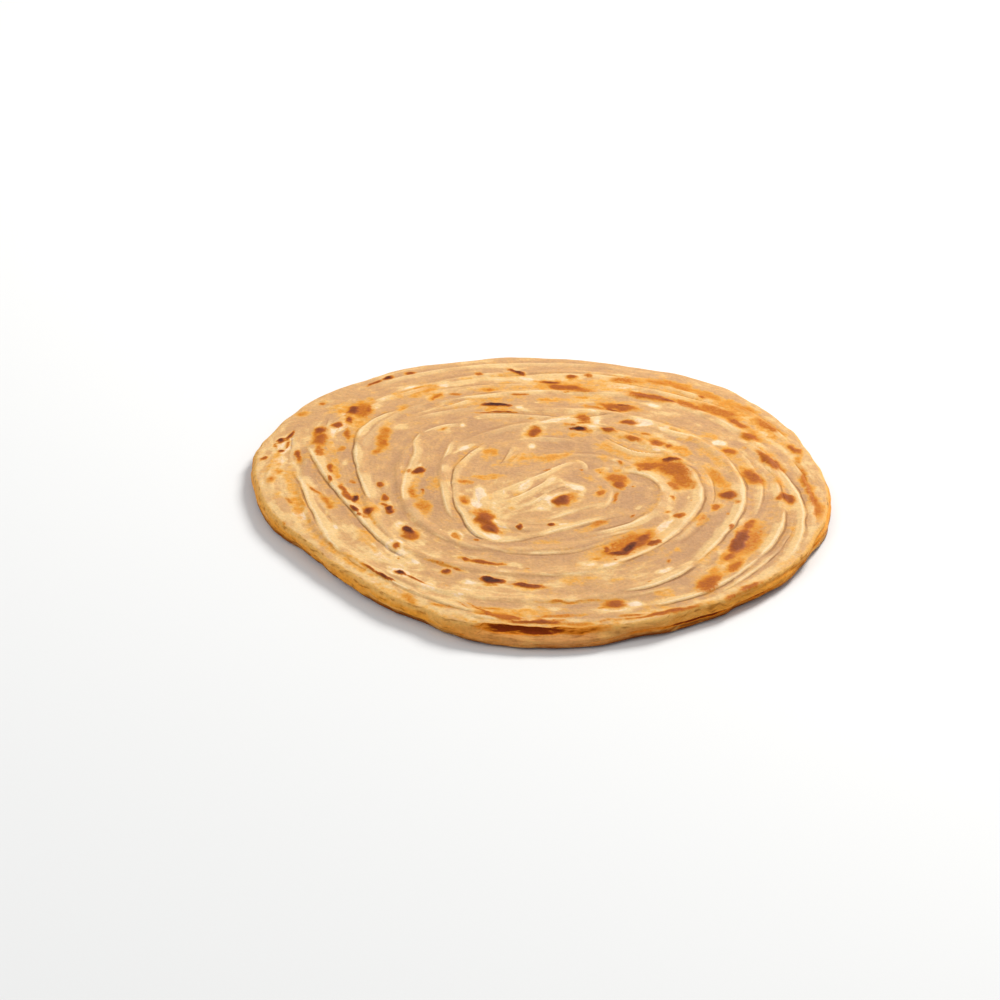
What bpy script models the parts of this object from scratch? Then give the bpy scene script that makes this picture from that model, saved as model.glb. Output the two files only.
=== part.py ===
"""A wheat parotta: a round, flaky flatbread rolled from a coil of pleated dough.

The bread is one solid. Its top carries the coil, two arms that wind clockwise
outwards, as raised lips with a crease beside each. Its rim shows the leaves of
the dough, and its underside, pressed flat on the griddle, has the same coil as
shallow creases between flat bands.
"""
import math

import bpy
import bmesh
from mathutils import Vector, noise
from mathutils.geometry import delaunay_2d_cdt

# Lengths are in millimetres and angles in degrees, and MM scales the finished mesh to metres.
# A bearing is measured about the middle of the coil, 0 to the right (+X) and 90 away (+Y).
# A turn is measured clockwise from +X, so an arm's bearing is minus its turn.
MM = 0.001

# Body
THICKNESS = 5.3             # of a flat band of the coil
DOME = 0.5                  # how much higher the middle is than the edge
WAVE = 0.45                 # slow rise and fall of the hand-flattened top
WAVE_LENGTH = 38.0
EDGE_RADII = [84.2, 85.3, 88.4, 92.0, 93.5, 93.5, 95.5, 97.2, 99.0, 99.5, 98.0, 95.3,
              90.2, 83.8, 79.2, 78.2, 80.1, 83.4, 83.9, 81.4, 80.6, 81.2, 82.0, 83.2]
EDGE_STEP = 15.0            # bearing between two edge radii
COLUMNS = 120               # points round the edge

# Coil: the radius of each arm's lip at every eighth of a turn, from its inner end
ARM_STEP = 45.0
ARM_A_FIRST_TURN = -270.0
ARM_A_RADII = [9.0, 12.0, 15.0, 18.5, 22.5, 28.0, 33.5, 32.0, 36.0, 43.0, 45.5, 54.0,
               55.0, 57.0, 58.0, 60.0, 64.5, 69.5, 75.5, 83.0, 83.5, 84.5]
ARM_B_FIRST_TURN = -90.0
ARM_B_RADII = [10.0, 13.0, 16.5, 20.0, 23.5, 27.0, 32.0, 40.0, 45.0, 43.5, 47.0, 46.5,
               50.0, 55.0, 56.5, 70.5, 68.5, 73.0, 69.5, 71.5, 74.5]

# Lip of the coil: a leaf's edge that rises gently, then drops into a crease on its outer side
LIP_RISE_WIDTH = 3.0
LIP_DROP_WIDTH = 1.5
LIP_HEIGHT = 0.95
LIP_INNER_HEIGHT = 0.5      # at the start of an arm, where the dough is tight
CREASE_DEPTH = 0.35
CREASE_WIDTH = 1.4
LIP_FADE = 40.0             # turn over which a lip rises at its start and sinks at its end
LIP_FADE_SHARE = 0.4        # of a short pleat's length, where that is less
LIP_FULL_SHARE = 0.4        # of an arm's length, after which its lip has its full height
LIP_STEP = 5.0              # bearing between two points along a lip
LIP_RISE_MIDDLE = 0.4       # where a lip's flanks get one more line of points, as shares of
LIP_DROP_MIDDLE = 0.5       # their widths
EDGE_CLEAR = 6.5            # a lip keeps this far inside the edge

# Extra pleats, each with its first and last bearing, its radii at equal steps and its height
PLEATS = [
    (162.0, 204.0, [78.0, 68.0, 61.5, 59.0], 0.8),
    (170.0, 214.0, [37.5, 36.5, 39.5], 0.7),
    (14.0, -30.0, [72.5, 75.6, 77.0, 76.0], 0.5),
    (64.0, 36.0, [34.5, 36.5, 38.5], 0.6),
    (112.0, 70.0, [76.5, 77.5, 77.0, 76.0], 0.5),
    (250.0, 222.0, [59.0, 62.5, 65.5], 0.45),
]
PLEAT_SCALE = 0.8           # width of a pleat's lip beside the coil's

# Rim: rings from the top's shoulder down to the foot, as inset from the edge and share of height
# The two deep insets are the gaps between leaves, and the leaf between them stands proud.
RIM_RINGS = [(1.5, 0.95), (0.3, 0.80), (1.5, 0.66), (0.0, 0.50), (1.4, 0.34), (0.5, 0.20), (2.0, 0.06)]
SHOULDER_INSET = 3.6
FOOT_INSET = 5.0
LEAF_WANDER = 0.7           # how far a leaf's edge strays in and out
LEAF_WANDER_LENGTH = 11.0
LEAF_SHIFT = 9.0            # step in the noise from one leaf to the next, so that they differ

# Underside
UNDER_CREASE_DEPTH = 0.5
UNDER_CREASE_HALF_WIDTH = 1.3
UNDER_FROM_RADIUS = 24.0    # the creases of the tight middle are pressed shut
UNDER_FULL_LIFT = 0.5       # a fold at least this high leaves a crease of full depth
UNDER_LIP_STEP = 7.5
RIM_LIFT = 0.5              # how far the edge of the foot curls up off the griddle
RIM_LIFT_CIRCLE = 2.0       # radius of the circle in the noise that gives the curl
RIM_LIFT_SHIFT = 4.0

# Filling points between the lips
FILL_SPACING = 8.0
FILL_CLEAR = 2.6            # kept free on both sides of a lip
MERGE_DISTANCE = 0.05       # plan points nearer than this become one

# Crust: pale wheat dough browned in butter
CRUST_COLOUR = (0.72, 0.47, 0.26, 1.0)
CRUST_ROUGHNESS = 0.55


def cubic(a, b, c, d, f):
    """Value at fraction f between b and c of a smooth curve through a, b, c and d."""
    return b + 0.5 * f * (c - a + f * (2 * a - 5 * b + 4 * c - d + f * (3 * (b - c) + d - a)))


def edge_radius(bearing):
    """Radius of the bread's outermost edge."""
    place = (bearing % 360.0) / EDGE_STEP
    n = int(place)
    count = len(EDGE_RADII)
    near = [EDGE_RADII[(n + k) % count] for k in (-1, 0, 1, 2)]
    return cubic(*near, place - n)


def read_along(values, place):
    """Smooth value at a place counted in steps from the first of a list."""
    last = len(values) - 1
    n = min(max(int(place), 0), last - 1)
    near = [values[min(max(n + k, 0), last)] for k in (-1, 0, 1, 2)]
    return cubic(*near, place - n)


class Fold:
    """One fold of the dough, an arm of the coil or an extra pleat, in turns from +X."""

    def __init__(self, first_turn, step, radii, height, scale=1.0, start_height=None):
        self.first = first_turn
        self.step = step
        self.radii = radii
        self.last = first_turn + step * (len(radii) - 1)
        self.height = height
        self.start_height = height if start_height is None else start_height
        self.rise = LIP_RISE_WIDTH * scale
        self.drop = LIP_DROP_WIDTH * scale

    def radius(self, turn):
        radius = read_along(self.radii, (turn - self.first) / self.step)
        return min(radius, edge_radius(-turn) - EDGE_CLEAR)

    def lift(self, turn):
        """Height of the lip's crest, sinking to nothing at both ends."""
        if not self.first < turn < self.last:
            return 0.0
        fade = min(LIP_FADE, LIP_FADE_SHARE * (self.last - self.first))
        ends = min(turn - self.first, self.last - turn, fade) / fade
        along = (turn - self.first) / (self.last - self.first)
        gained = min(1.0, along / LIP_FULL_SHARE)
        full = self.start_height + (self.height - self.start_height) * gained
        return full * math.sin(0.5 * math.pi * ends)

    def section(self, distance):
        """Section of a lip of height 1, at a distance outwards from its crest."""
        if -self.rise < distance <= 0.0:
            return 0.5 + 0.5 * math.cos(math.pi * distance / self.rise)
        if 0.0 < distance < self.drop:
            return 0.5 + 0.5 * math.cos(math.pi * distance / self.drop)
        if self.drop <= distance < self.drop + CREASE_WIDTH:
            across = (distance - self.drop) / CREASE_WIDTH
            return -CREASE_DEPTH / LIP_HEIGHT * math.sin(math.pi * across)
        return 0.0

    def passes(self, bearing):
        """The turns at which the fold crosses a bearing."""
        turn = self.first + (-bearing - self.first) % 360.0
        while turn < self.last:
            yield turn
            turn += 360.0

    def points(self, offset, step, from_radius=0.0):
        """Plan points beside the fold's middle line, offset outwards."""
        count = math.ceil((self.last - self.first) / step)
        line = []
        for k in range(count + 1):
            turn = self.first + (self.last - self.first) * k / count
            radius = self.radius(turn)
            if radius >= from_radius:
                line.append(on_plan(-turn, radius + offset))
        return line


def on_plan(bearing, radius):
    angle = math.radians(bearing)
    return Vector((radius * math.cos(angle), radius * math.sin(angle)))


def polar(point):
    return math.degrees(math.atan2(point.y, point.x)), point.length


def make_folds():
    folds = [
        Fold(ARM_A_FIRST_TURN, ARM_STEP, ARM_A_RADII, LIP_HEIGHT, 1.0, LIP_INNER_HEIGHT),
        Fold(ARM_B_FIRST_TURN, ARM_STEP, ARM_B_RADII, LIP_HEIGHT, 1.0, LIP_INNER_HEIGHT),
    ]
    for first, last, radii, height in PLEATS:
        if last > first:
            first, last, radii = last, first, radii[::-1]
        step = (first - last) / (len(radii) - 1)
        folds.append(Fold(-first, step, radii, height, PLEAT_SCALE))
    return folds


def body_height(point):
    """Height of the top without its folds."""
    bearing, radius = polar(point)
    share = radius / edge_radius(bearing)
    wave = noise.noise(Vector((point.x, point.y, 0.0)) / WAVE_LENGTH)
    return THICKNESS + DOME * (1.0 - share * share) + WAVE * wave


def top_height(point, folds):
    """Height of the top. Where folds meet, the higher lip covers the other's crease."""
    bearing, radius = polar(point)
    lip = 0.0
    crease = 0.0
    for fold in folds:
        for turn in fold.passes(bearing):
            relief = fold.lift(turn) * fold.section(radius - fold.radius(turn))
            lip = max(lip, relief)
            crease = min(crease, relief)
    return body_height(point) + lip + crease * max(0.0, 1.0 - lip / CREASE_DEPTH)


def under_height(point, folds):
    """Height of the underside, nothing on the flat bands."""
    bearing, radius = polar(point)
    depth = 0.0
    for fold in folds:
        for turn in fold.passes(bearing):
            if fold.radius(turn) < UNDER_FROM_RADIUS:
                continue
            distance = abs(radius - fold.radius(turn)) / UNDER_CREASE_HALF_WIDTH
            if distance < 1.0:
                depth = max(depth, (1.0 - distance) * min(1.0, fold.lift(turn) / UNDER_FULL_LIFT))
    return UNDER_CREASE_DEPTH * depth


def ring_points(inset):
    """Plan points round the bread, inset from its edge."""
    points = []
    for k in range(COLUMNS):
        bearing = 360.0 * k / COLUMNS
        points.append(on_plan(bearing, edge_radius(bearing) - inset))
    return points


def fill_points(lines, ring):
    """Points on a staggered grid wherever no line is near."""
    row_height = FILL_SPACING * math.sqrt(0.75)
    reach = math.ceil(max(p.length for p in ring) / row_height)
    taken = [p for line in lines for p in line] + ring
    points = []
    for row in range(-reach, reach + 1):
        for column in range(-reach, reach + 1):
            point = Vector(((column + 0.5 * (row % 2)) * FILL_SPACING, row * row_height))
            bearing, radius = polar(point)
            if radius > edge_radius(bearing) - SHOULDER_INSET - FILL_CLEAR:
                continue
            if min((point - p).length_squared for p in taken) > FILL_CLEAR ** 2:
                points.append(point)
    return points


def make_sheet(mesh, lines, ring, height_of):
    """Triangulate one face of the bread so that its edges follow the folds.

    Returns the vertices of its outer ring, in order.
    """
    plan = list(ring)
    edges = [(k, (k + 1) % len(ring)) for k in range(len(ring))]
    for line in lines:
        start = len(plan)
        plan += line
        edges += [(k, k + 1) for k in range(start, start + len(line) - 1)]
    plan += fill_points(lines, ring)
    points, _, faces, came_from, _, _ = delaunay_2d_cdt(plan, edges, [], 1, MERGE_DISTANCE)
    verts = [mesh.verts.new((p.x, p.y, height_of(p))) for p in points]
    for face in faces:
        mesh.faces.new([verts[k] for k in face])
    ring_verts = [None] * len(ring)
    for vert, sources in zip(verts, came_from):
        for source in sources:
            if source < len(ring):
                ring_verts[source] = vert
    return ring_verts


def make_top(mesh, folds):
    lines = []
    for fold in folds:
        inside = (-fold.rise, -LIP_RISE_MIDDLE * fold.rise)
        outside = (LIP_DROP_MIDDLE * fold.drop, fold.drop + 0.5 * CREASE_WIDTH, fold.drop + CREASE_WIDTH)
        for offset in (*inside, 0.0, *outside):
            lines.append(fold.points(offset, LIP_STEP))
    return make_sheet(mesh, lines, ring_points(SHOULDER_INSET), lambda p: top_height(p, folds))


def make_underside(mesh, folds):
    lines = []
    for fold in folds:
        for offset in (-UNDER_CREASE_HALF_WIDTH, 0.0, UNDER_CREASE_HALF_WIDTH):
            line = fold.points(offset, UNDER_LIP_STEP, UNDER_FROM_RADIUS)
            if len(line) > 1:
                lines.append(line)
    return make_sheet(mesh, lines, ring_points(FOOT_INSET), lambda p: under_height(p, folds))


def make_rim(mesh, top_ring, foot_ring):
    """Join the two faces by the stacked edges of the dough's leaves."""
    rings = [top_ring]
    for level, (inset, share) in enumerate(RIM_RINGS):
        ring = []
        for k, vert in enumerate(top_ring):
            bearing = 360.0 * k / COLUMNS
            edge = edge_radius(bearing)
            place = Vector((*on_plan(bearing, edge), LEAF_SHIFT * level)) / LEAF_WANDER_LENGTH
            wander = LEAF_WANDER * noise.noise(place)
            curl = noise.noise(Vector((*on_plan(bearing, RIM_LIFT_CIRCLE), RIM_LIFT_SHIFT)))
            low = RIM_LIFT * max(0.0, curl)
            plan = on_plan(bearing, edge - max(0.0, inset + wander))
            ring.append(mesh.verts.new((plan.x, plan.y, low + (vert.co.z - low) * share)))
        rings.append(ring)
    rings.append(foot_ring)
    for upper, lower in zip(rings, rings[1:]):
        for k in range(COLUMNS):
            n = (k + 1) % COLUMNS
            mesh.faces.new((upper[k], lower[k], lower[n], upper[n]))


def make_crust():
    crust = bpy.data.materials.new("browned_crust")
    crust.use_nodes = True
    shader = crust.node_tree.nodes["Principled BSDF"]
    shader.inputs["Base Color"].default_value = CRUST_COLOUR
    shader.inputs["Roughness"].default_value = CRUST_ROUGHNESS
    shader.inputs["Metallic"].default_value = 0.0
    return crust


def make_parotta():
    folds = make_folds()
    mesh = bmesh.new()
    top_ring = make_top(mesh, folds)
    foot_ring = make_underside(mesh, folds)
    make_rim(mesh, top_ring, foot_ring)
    bmesh.ops.recalc_face_normals(mesh, faces=mesh.faces)
    bmesh.ops.triangulate(mesh, faces=mesh.faces)

    # The origin is the middle of the bread's box, on the surface it lies on
    xs = [v.co.x for v in mesh.verts]
    ys = [v.co.y for v in mesh.verts]
    middle = Vector(((min(xs) + max(xs)) / 2, (min(ys) + max(ys)) / 2, 0.0))
    for vert in mesh.verts:
        vert.co = (vert.co - middle) * MM

    data = bpy.data.meshes.new("parotta")
    mesh.to_mesh(data)
    mesh.free()
    data.materials.append(make_crust())
    data.shade_smooth()
    return bpy.data.objects.new("parotta", data)


def main():
    for thing in list(bpy.data.objects):
        bpy.data.objects.remove(thing)
    collection = bpy.data.collections.new("wheat_parotta")
    bpy.context.scene.collection.children.link(collection)
    collection.objects.link(make_parotta())


main()
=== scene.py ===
# Wheat parotta, dressed for rendering: the coiled flatbread modelled in fine mesh, its
# browned crust, a pale table, studio light and the camera.
import math

import bpy
import numpy as np
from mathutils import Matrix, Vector


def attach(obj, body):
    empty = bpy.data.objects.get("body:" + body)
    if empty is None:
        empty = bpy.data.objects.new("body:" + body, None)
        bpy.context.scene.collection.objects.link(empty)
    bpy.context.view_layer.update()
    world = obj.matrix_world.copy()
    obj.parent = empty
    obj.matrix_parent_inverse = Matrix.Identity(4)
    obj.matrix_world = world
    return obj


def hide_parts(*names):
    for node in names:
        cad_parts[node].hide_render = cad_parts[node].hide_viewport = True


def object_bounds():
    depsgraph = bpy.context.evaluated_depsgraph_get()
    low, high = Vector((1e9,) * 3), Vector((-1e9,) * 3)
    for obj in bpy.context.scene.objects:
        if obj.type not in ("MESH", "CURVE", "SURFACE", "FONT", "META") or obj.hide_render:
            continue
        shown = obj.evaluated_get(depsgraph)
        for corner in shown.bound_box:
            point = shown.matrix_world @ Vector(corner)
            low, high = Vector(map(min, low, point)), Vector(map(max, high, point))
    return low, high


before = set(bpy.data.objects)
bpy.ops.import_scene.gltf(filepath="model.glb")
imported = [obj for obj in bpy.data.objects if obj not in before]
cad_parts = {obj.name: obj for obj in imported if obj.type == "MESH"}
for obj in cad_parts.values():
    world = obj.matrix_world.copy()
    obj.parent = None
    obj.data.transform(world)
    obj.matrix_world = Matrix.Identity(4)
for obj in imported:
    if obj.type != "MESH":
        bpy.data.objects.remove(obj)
cadLow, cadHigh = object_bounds()
mm = 0.001  # plan sizes below are in millimetres, about the middle of the coil

# Bearings are in degrees, 0 to the right and 90 away from the camera
bread = {
    "thickness": 5.3,
    "dome": 0.5,
    "wave": 0.22,
    "waveCell": 23.0,
    "bumps": 0.05,
    "edgeRadii": [84.2, 85.3, 88.4, 92.0, 93.5, 93.5, 95.5, 97.2, 99.0, 99.5, 98.0, 95.3,
                  90.2, 83.8, 79.2, 78.2, 80.1, 83.4, 83.9, 81.4, 80.6, 81.2, 82.0, 83.2],
    "edgeRagged": 0.7,     # small in and out of the edge
    "shoulder": 2.8,       # where the top ends and the rim begins
    "foot": 4.8,           # where the underside ends
    "underGrooves": 0.45,  # depth of the grooves in the underside
    "reach": 84.0,         # a usual radius, for counting the rings
    "columns": 448,        # halved twice towards the middle
    "halving": (38.0, 18.0),
    "topGap": 0.44,        # between rings of the top, and of the underside
    "underGap": 1.5,
    "rimRows": 30,
}

# At the front the top leaf draws back from the one below it, and leaves a hollow, browned and darkened with
# painted shade.
# Places down the rim are shares of the way from the shoulder to the foot
hollow = {
    "bearing": 267.0,
    "halfSpan": 17.5,                    # in degrees, and how much of it is a soft end
    "ends": 11.0,
    "back": 3.3,                         # how far the top leaf stands back, and how unevenly
    "ragged": 0.28,
    "ledge": (0.28, 0.50),               # where the lower leaf comes out
    "undercut": (0.9, 0.20, 0.08),       # depth, place and height of the cut under the top leaf
    "warmer": (265, 273),                # bearings over which the brown turns gold, without a cut
    "browned": (0.02, 0.12, 0.30, 0.42), # where the brown with its painted shade begins, is full, thins and ends
    "leafTones": ([0, 0.08, 0.30, 0.38, 0.50, 0.75, 1],     # places, and the rim's tone at them
                  [0, 0.25, 0.42, 0.37, 0.40, 0.60, 1]),
}

# The lips, spots and tones below were traced on a plane a little lower than the top, so they lie
# this much further left and towards the viewer
traced = (0.15, 1.15)

# The two arms of the coil, as faint lips: radii at every 45 degrees of clockwise turn
arms = {
    "step": 45.0,
    "list": [
        (-270.0, [9.0, 12.0, 15.0, 18.5, 22.5, 28.0, 33.5, 32.0, 36.0, 43.0, 45.5, 54.0,
                  55.0, 57.0, 58.0, 60.0, 64.5, 69.5, 75.5, 83.0, 83.5, 84.5]),
        (-90.0, [10.0, 13.0, 16.5, 20.0, 23.5, 27.0, 32.0, 40.0, 45.0, 43.5, 47.0, 46.5,
                 50.0, 55.0, 56.5, 70.5, 68.5, 73.0, 69.5, 71.5, 74.5]),
    ],
    "height": 0.42,
    "rise": 3.4,
    "drop": 2.0,
    "wander": 0.5,
    "pale": 0.4,
    # how dark the arms' hairlines are, in painted crease shade
    "hair": 0.3,
    "edgeClear": 8.0,
    "fade": 60.0,            # degrees over which the ends sink away
    "middleFade": (12, 34),  # and millimetres from the middle
}

# Lips that stand out: height, width of the inner and the outer flank, how dark the hairline
# of painted crease shade beside it is (negative where it lies inside, several values at even steps
# along it), and points x, y along it
lips = [
    # left
    (0.95, 2.4, 1.3, 1, [(-47, 55), (-52, 52), (-56.5, 47), (-59.7, 40), (-60.6, 32), (-60.6, 24),
        (-59.2, 13), (-57, 3), (-54.6, -6), (-51.5, -14)]),
    (0.95, 2.4, 1.3, 1, [(-76.2, 33), (-74.6, 26), (-72, 18), (-69.2, 10), (-65.8, 2), (-62.4, -6),
        (-59, -13), (-54.8, -22), (-50.4, -30), (-45.6, -37), (-40, -43)]),
    (0.95, 2.6, 1.3, [0.4, 1.5, 1.8, 1, 0.6, 0.6], [(-79, 14), (-76.2, 6), (-74.2, -2), (-72.2, -9),
        (-69.8, -17), (-67.2, -25), (-64, -33), (-59, -41)]),
    (0.55, 2, 1.3, 0.6, [(-36, 43), (-40.4, 38), (-42.4, 32), (-42, 26), (-42.8, 19), (-44.3, 10),
        (-45, 2), (-44.2, -6), (-42, -13)]),
    (0.8, 1.5, 1.3, 0.15, [(-29, 36), (-31, 30), (-32.6, 22), (-33.3, 12), (-33.1, 2), (-32.2, -7),
        (-30.6, -14), (-27.8, -20)]),
    (0.8, 1.6, 1.2, 1, [(-19, 32), (-22.5, 27.5), (-26, 21.5), (-28.8, 14.5), (-29.6, 6), (-29.4, -3),
        (-28.3, -11), (-26, -18), (-24, -25), (-20, -30), (-14, -31.5)]),
    (0.35, 1.2, 0.9, 0.7, [(-11, 31), (-12.3, 26), (-13.8, 20), (-16, 14)]),
    (0.3, 1.2, 0.9, 0.4, [(-8.5, 27), (-10.5, 21), (-13.5, 15)]),
    (0.45, 2.4, 1.6, 0.3, [(-84, 22), (-86.4, 12), (-86.4, 3), (-84, -7), (-79.5, -17), (-74, -26)]),
    (0.5, 2, 1.3, 0.6, [(-80, 44), (-80.5, 36), (-80.2, 28), (-80.5, 20)]),
    (0.4, 1.6, 1.2, 0.5, [(-84, -2), (-80.5, -11), (-76.5, -20), (-71, -30), (-64.5, -40)]),
    (0.35, 1.4, 1, 0.5, [(-72, 1), (-69, -9), (-64, -20), (-60, -29)]),
    (0.4, 1.4, 1, 0.5, [(-69.5, 52), (-70.5, 44), (-70.4, 35), (-69, 26)]),
    # front left
    (0.55, 2.6, 1.7, 0.35, [(-49, -20), (-45.6, -27), (-41.6, -34), (-36.5, -39.5), (-30, -44.5),
        (-22, -48), (-12, -50), (0, -50.5), (14, -48.5)]),
    (0.45, 2.6, 1.8, 0.25, [(-40, -56), (-30, -61), (-20, -63.6), (-8, -65), (4, -64.6), (15, -63.4),
        (26, -60.4), (36, -55)]),
    (0.95, 1.6, 1.2, 0.55, [(-67, -38), (-60.5, -47), (-53, -55.5), (-45, -63), (-37, -68.5),
        (-29, -72.5), (-21, -75)]),
    (0.8, 1.4, 1, 0.55, [(-57, -41), (-50, -50), (-42, -58), (-33, -65), (-24, -70), (-15, -73.5)]),
    (0.85, 1.5, 1.1, 0.5, [(-45, -70), (-36, -75.4), (-27, -79), (-17, -81), (-6, -81.4)]),
    (0.8, 1.3, 0.9, 0.5, [(-72, -34), (-65.6, -44), (-58, -53.6), (-49.6, -62), (-41, -69), (-32, -74.6)]),
    (0.6, 1.2, 0.9, 0.5, [(-62, -36), (-55, -45.6), (-47, -54), (-38, -61.6), (-29, -67)]),
    (0.7, 1.3, 1, 0.4, [(-82, -14), (-78, -24), (-72.6, -34), (-66.6, -43.6)]),
    (0.7, 1.8, 1.3, 1.2, [(-30, -70.4), (-24, -72.6), (-17, -74.4), (-9, -75.6), (0, -76), (9, -75.4),
        (18, -74)]),
    (0.5, 2.4, 1.5, 0.5, [(-27, -29), (-22, -33.6), (-14, -37.4), (-4, -38.4), (6, -37), (14, -33),
        (21, -28), (27, -22)]),
    # right
    (0.85, 2.8, 1.8, 0.8, [(37, 21), (42.5, 13), (45, 4), (44.8, -5), (42, -14), (38, -22), (33, -30),
        (27, -37), (19, -43), (9, -46.5)]),
    (0.35, 1.3, 1, 0.8, [(46.2, 16), (48.6, 6), (48.4, -4), (46.2, -13)]),
    (0.9, 2.6, 1.4, 1, [(52, 27), (55.6, 18), (57.6, 8), (58, -2), (56.6, -11), (53.4, -20), (49, -29),
        (44.2, -38), (39, -46), (33, -52.5), (25, -58), (14, -60.5)]),
    (0.45, 1.5, 1, 0.7, [(57.5, 29), (60.8, 20), (63.2, 10), (63.4, 0), (61.6, -10), (58.5, -18)]),
    (0.9, 2, 1.2, 1, [(64.5, 17), (67.8, 8), (69, -2), (68.8, -12), (67.6, -21), (64.6, -30),
        (59.8, -39), (54, -47.5), (47.6, -55), (40, -61.5), (31, -66), (21, -68.5)]),
    (0.55, 1.3, 0.9, 1, [(71.8, -12), (70.4, -21), (67.2, -30.5), (62.2, -40), (56.2, -48.6), (49, -57),
        (41, -63.5)]),
    (0.9, 2, 1.2, 1, [(61, 34), (65, 27.5), (68.6, 19), (71.2, 11), (73.3, 3), (74.6, -5), (74.6, -14),
        (73.4, -23), (71, -32), (67.4, -40), (62, -48), (55, -56), (47, -63)]),
    (0.45, 1.3, 1, 0.8, [(72.6, 26), (75.6, 16), (77.4, 5), (78, -7), (77.4, -18), (75.4, -28),
        (71.6, -37.5)]),
    (0.45, 1.2, 1, 0.8, [(57, -59), (50, -65.5), (41, -69.6), (31, -72), (20, -74)]),
    (0.45, 1.4, 1, 0.5, [(64, -53), (57, -62), (48, -69), (38, -74.4), (27, -78), (14, -80.4)]),
    (0.85, 2.8, 1.8, -0.8, [(20, 13), (25.5, 12), (30, 9), (32.8, 4), (33.4, -2), (32, -9), (29, -15.4),
        (24, -20.5), (17, -24.6), (9, -27)]),
    (0.35, 1.6, 1.1, 0.5, [(30, -19), (24, -24), (16, -28.6), (8, -32), (-1, -34)]),
    # back
    (0.8, 2.2, 1.3, 1.2, [(17, 36), (19, 32), (21.9, 29), (26.3, 25.4), (33.5, 23.6), (38, 24.6)]),
    (0.8, 2.6, 1.5, 0.5, [(28, 45.4), (36, 41.4), (41, 38.2), (46, 35.4), (50, 31)]),
    (0.55, 1.6, 1.1, 0.3, [(-44.8, 50.5), (-38.8, 54.2), (-31.7, 58), (-25.6, 62.3), (-18, 64)]),
    (0.5, 1.4, 0.9, 0.3, [(-6, 45), (1, 47.3), (9.1, 50.5)]),
    (0.6, 2.2, 1.4, 0.7, [(-40, 58.5), (-31, 62.4), (-20, 65.6), (-8, 68), (4, 68.6), (16, 67.4),
        (28, 65.4), (40, 60.5), (49, 54), (56.5, 45.6), (62, 35)]),
    (0.6, 2, 1.3, 0.8, [(-26, 49), (-16, 51.2), (-4, 50.4), (6, 48.4), (14, 49.5), (22, 51.5),
        (30, 49.6)]),
    (0.4, 1.8, 1.3, 0.4, [(-44, 66), (-34, 70.4), (-22, 73), (-8, 74), (0, 72.4)]),
    (0.5, 2, 1.3, 0.6, [(16, 76), (24, 74), (33, 70.4), (43, 65.6), (52, 60), (59, 54)]),
    (0.45, 2, 1.3, 0.4, [(-64, 50), (-57, 58), (-48.5, 66.4), (-38, 73), (-24, 78), (-10, 80), (6, 82),
        (22, 79.6), (36, 74), (48, 67), (58, 60)]),
    (0.4, 1.8, 1.2, 0.4, [(-46, 47), (-38, 52), (-28, 55.6), (-18, 57)]),
    (0.45, 1.6, 1.1, 0.4, [(58, 62), (65, 54), (70.6, 44), (74.6, 34), (77, 24)]),
    (0.4, 2, 1.4, 0.3, [(-60, 71), (-50, 79), (-38, 85), (-24, 89), (-8, 90.6), (10, 90), (26, 87),
        (40, 81)]),
    # middle
    (0.6, 1.6, 1, 0.35, [(-17, -2), (-7.8, 5.5), (-2, 10.5), (0.9, 13.9), (6, 18.3), (12, 19.6)]),
    (0.65, 1.8, 1, 0.5, [(-17, -8.6), (-9.3, -3.9), (-1.8, 4.7), (0.5, 12.4)]),
    (0.55, 1.6, 1, 0.3, [(-13.5, -13), (-5.8, -8.6), (-0.8, -1.5), (5.6, 2.5), (10.5, -0.5)]),
    (0.55, 1.6, 1, 0.4, [(-4.6, -20.1), (5.2, -14.4), (10.8, -10.4), (17.2, -7.2)]),
    (0.65, 2, 1.4, 0.4, [(-23, -30), (-14.2, -31.6), (-4, -27.5), (7.7, -21.6), (16.1, -17.3),
        (23.8, -14.4)]),
    (0.45, 1.3, 0.9, 0.25, [(-10, -2), (-7, 4), (-4, 10), (0, 14), (3, 19)]),
    (0.4, 1.3, 1, 0.4, [(11.8, 12.1), (15, 14.6), (19, 15.4), (24.6, 12.1)]),
    (0.5, 1.2, 0.8, 0.2, [(-36.4, -25.6), (-32.4, -29.2), (-28.1, -33.3)]),
    (0.6, 1.6, 1, 0.2, [(-41.4, 36), (-38, 40.4), (-33.6, 43), (-27, 45)]),
    (0.4, 1.8, 1.4, 0.3, [(-15, -11), (-10, -5), (-7, 2), (-7.5, 8), (-12, 13)]),
    (0.4, 1.2, 0.9, 0.8, [(5, 19.5), (8.6, 20), (11, 16.4), (10.6, 11)]),
    (0.45, 1.4, 1, -0.7, [(15, 9), (17, 14), (20, 16), (23, 12.6)]),
    (0.4, 1.8, 1.2, 0.6, [(18, 2), (17.6, -5), (15, -12), (10, -17.5)]),
    (0.3, 2.4, 1.6, 0.35, [(-14, -18), (-6, -20.4), (2, -20.4), (8, -18)]),
    (0.3, 2, 1.4, 0.3, [(-24, 6), (-21.6, -1), (-20.6, -8), (-17, -13)]),
    (0.3, 2, 1.4, 0.3, [(-17, 30), (-9, 34), (0, 35), (8, 33), (14, 28)]),
]

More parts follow.
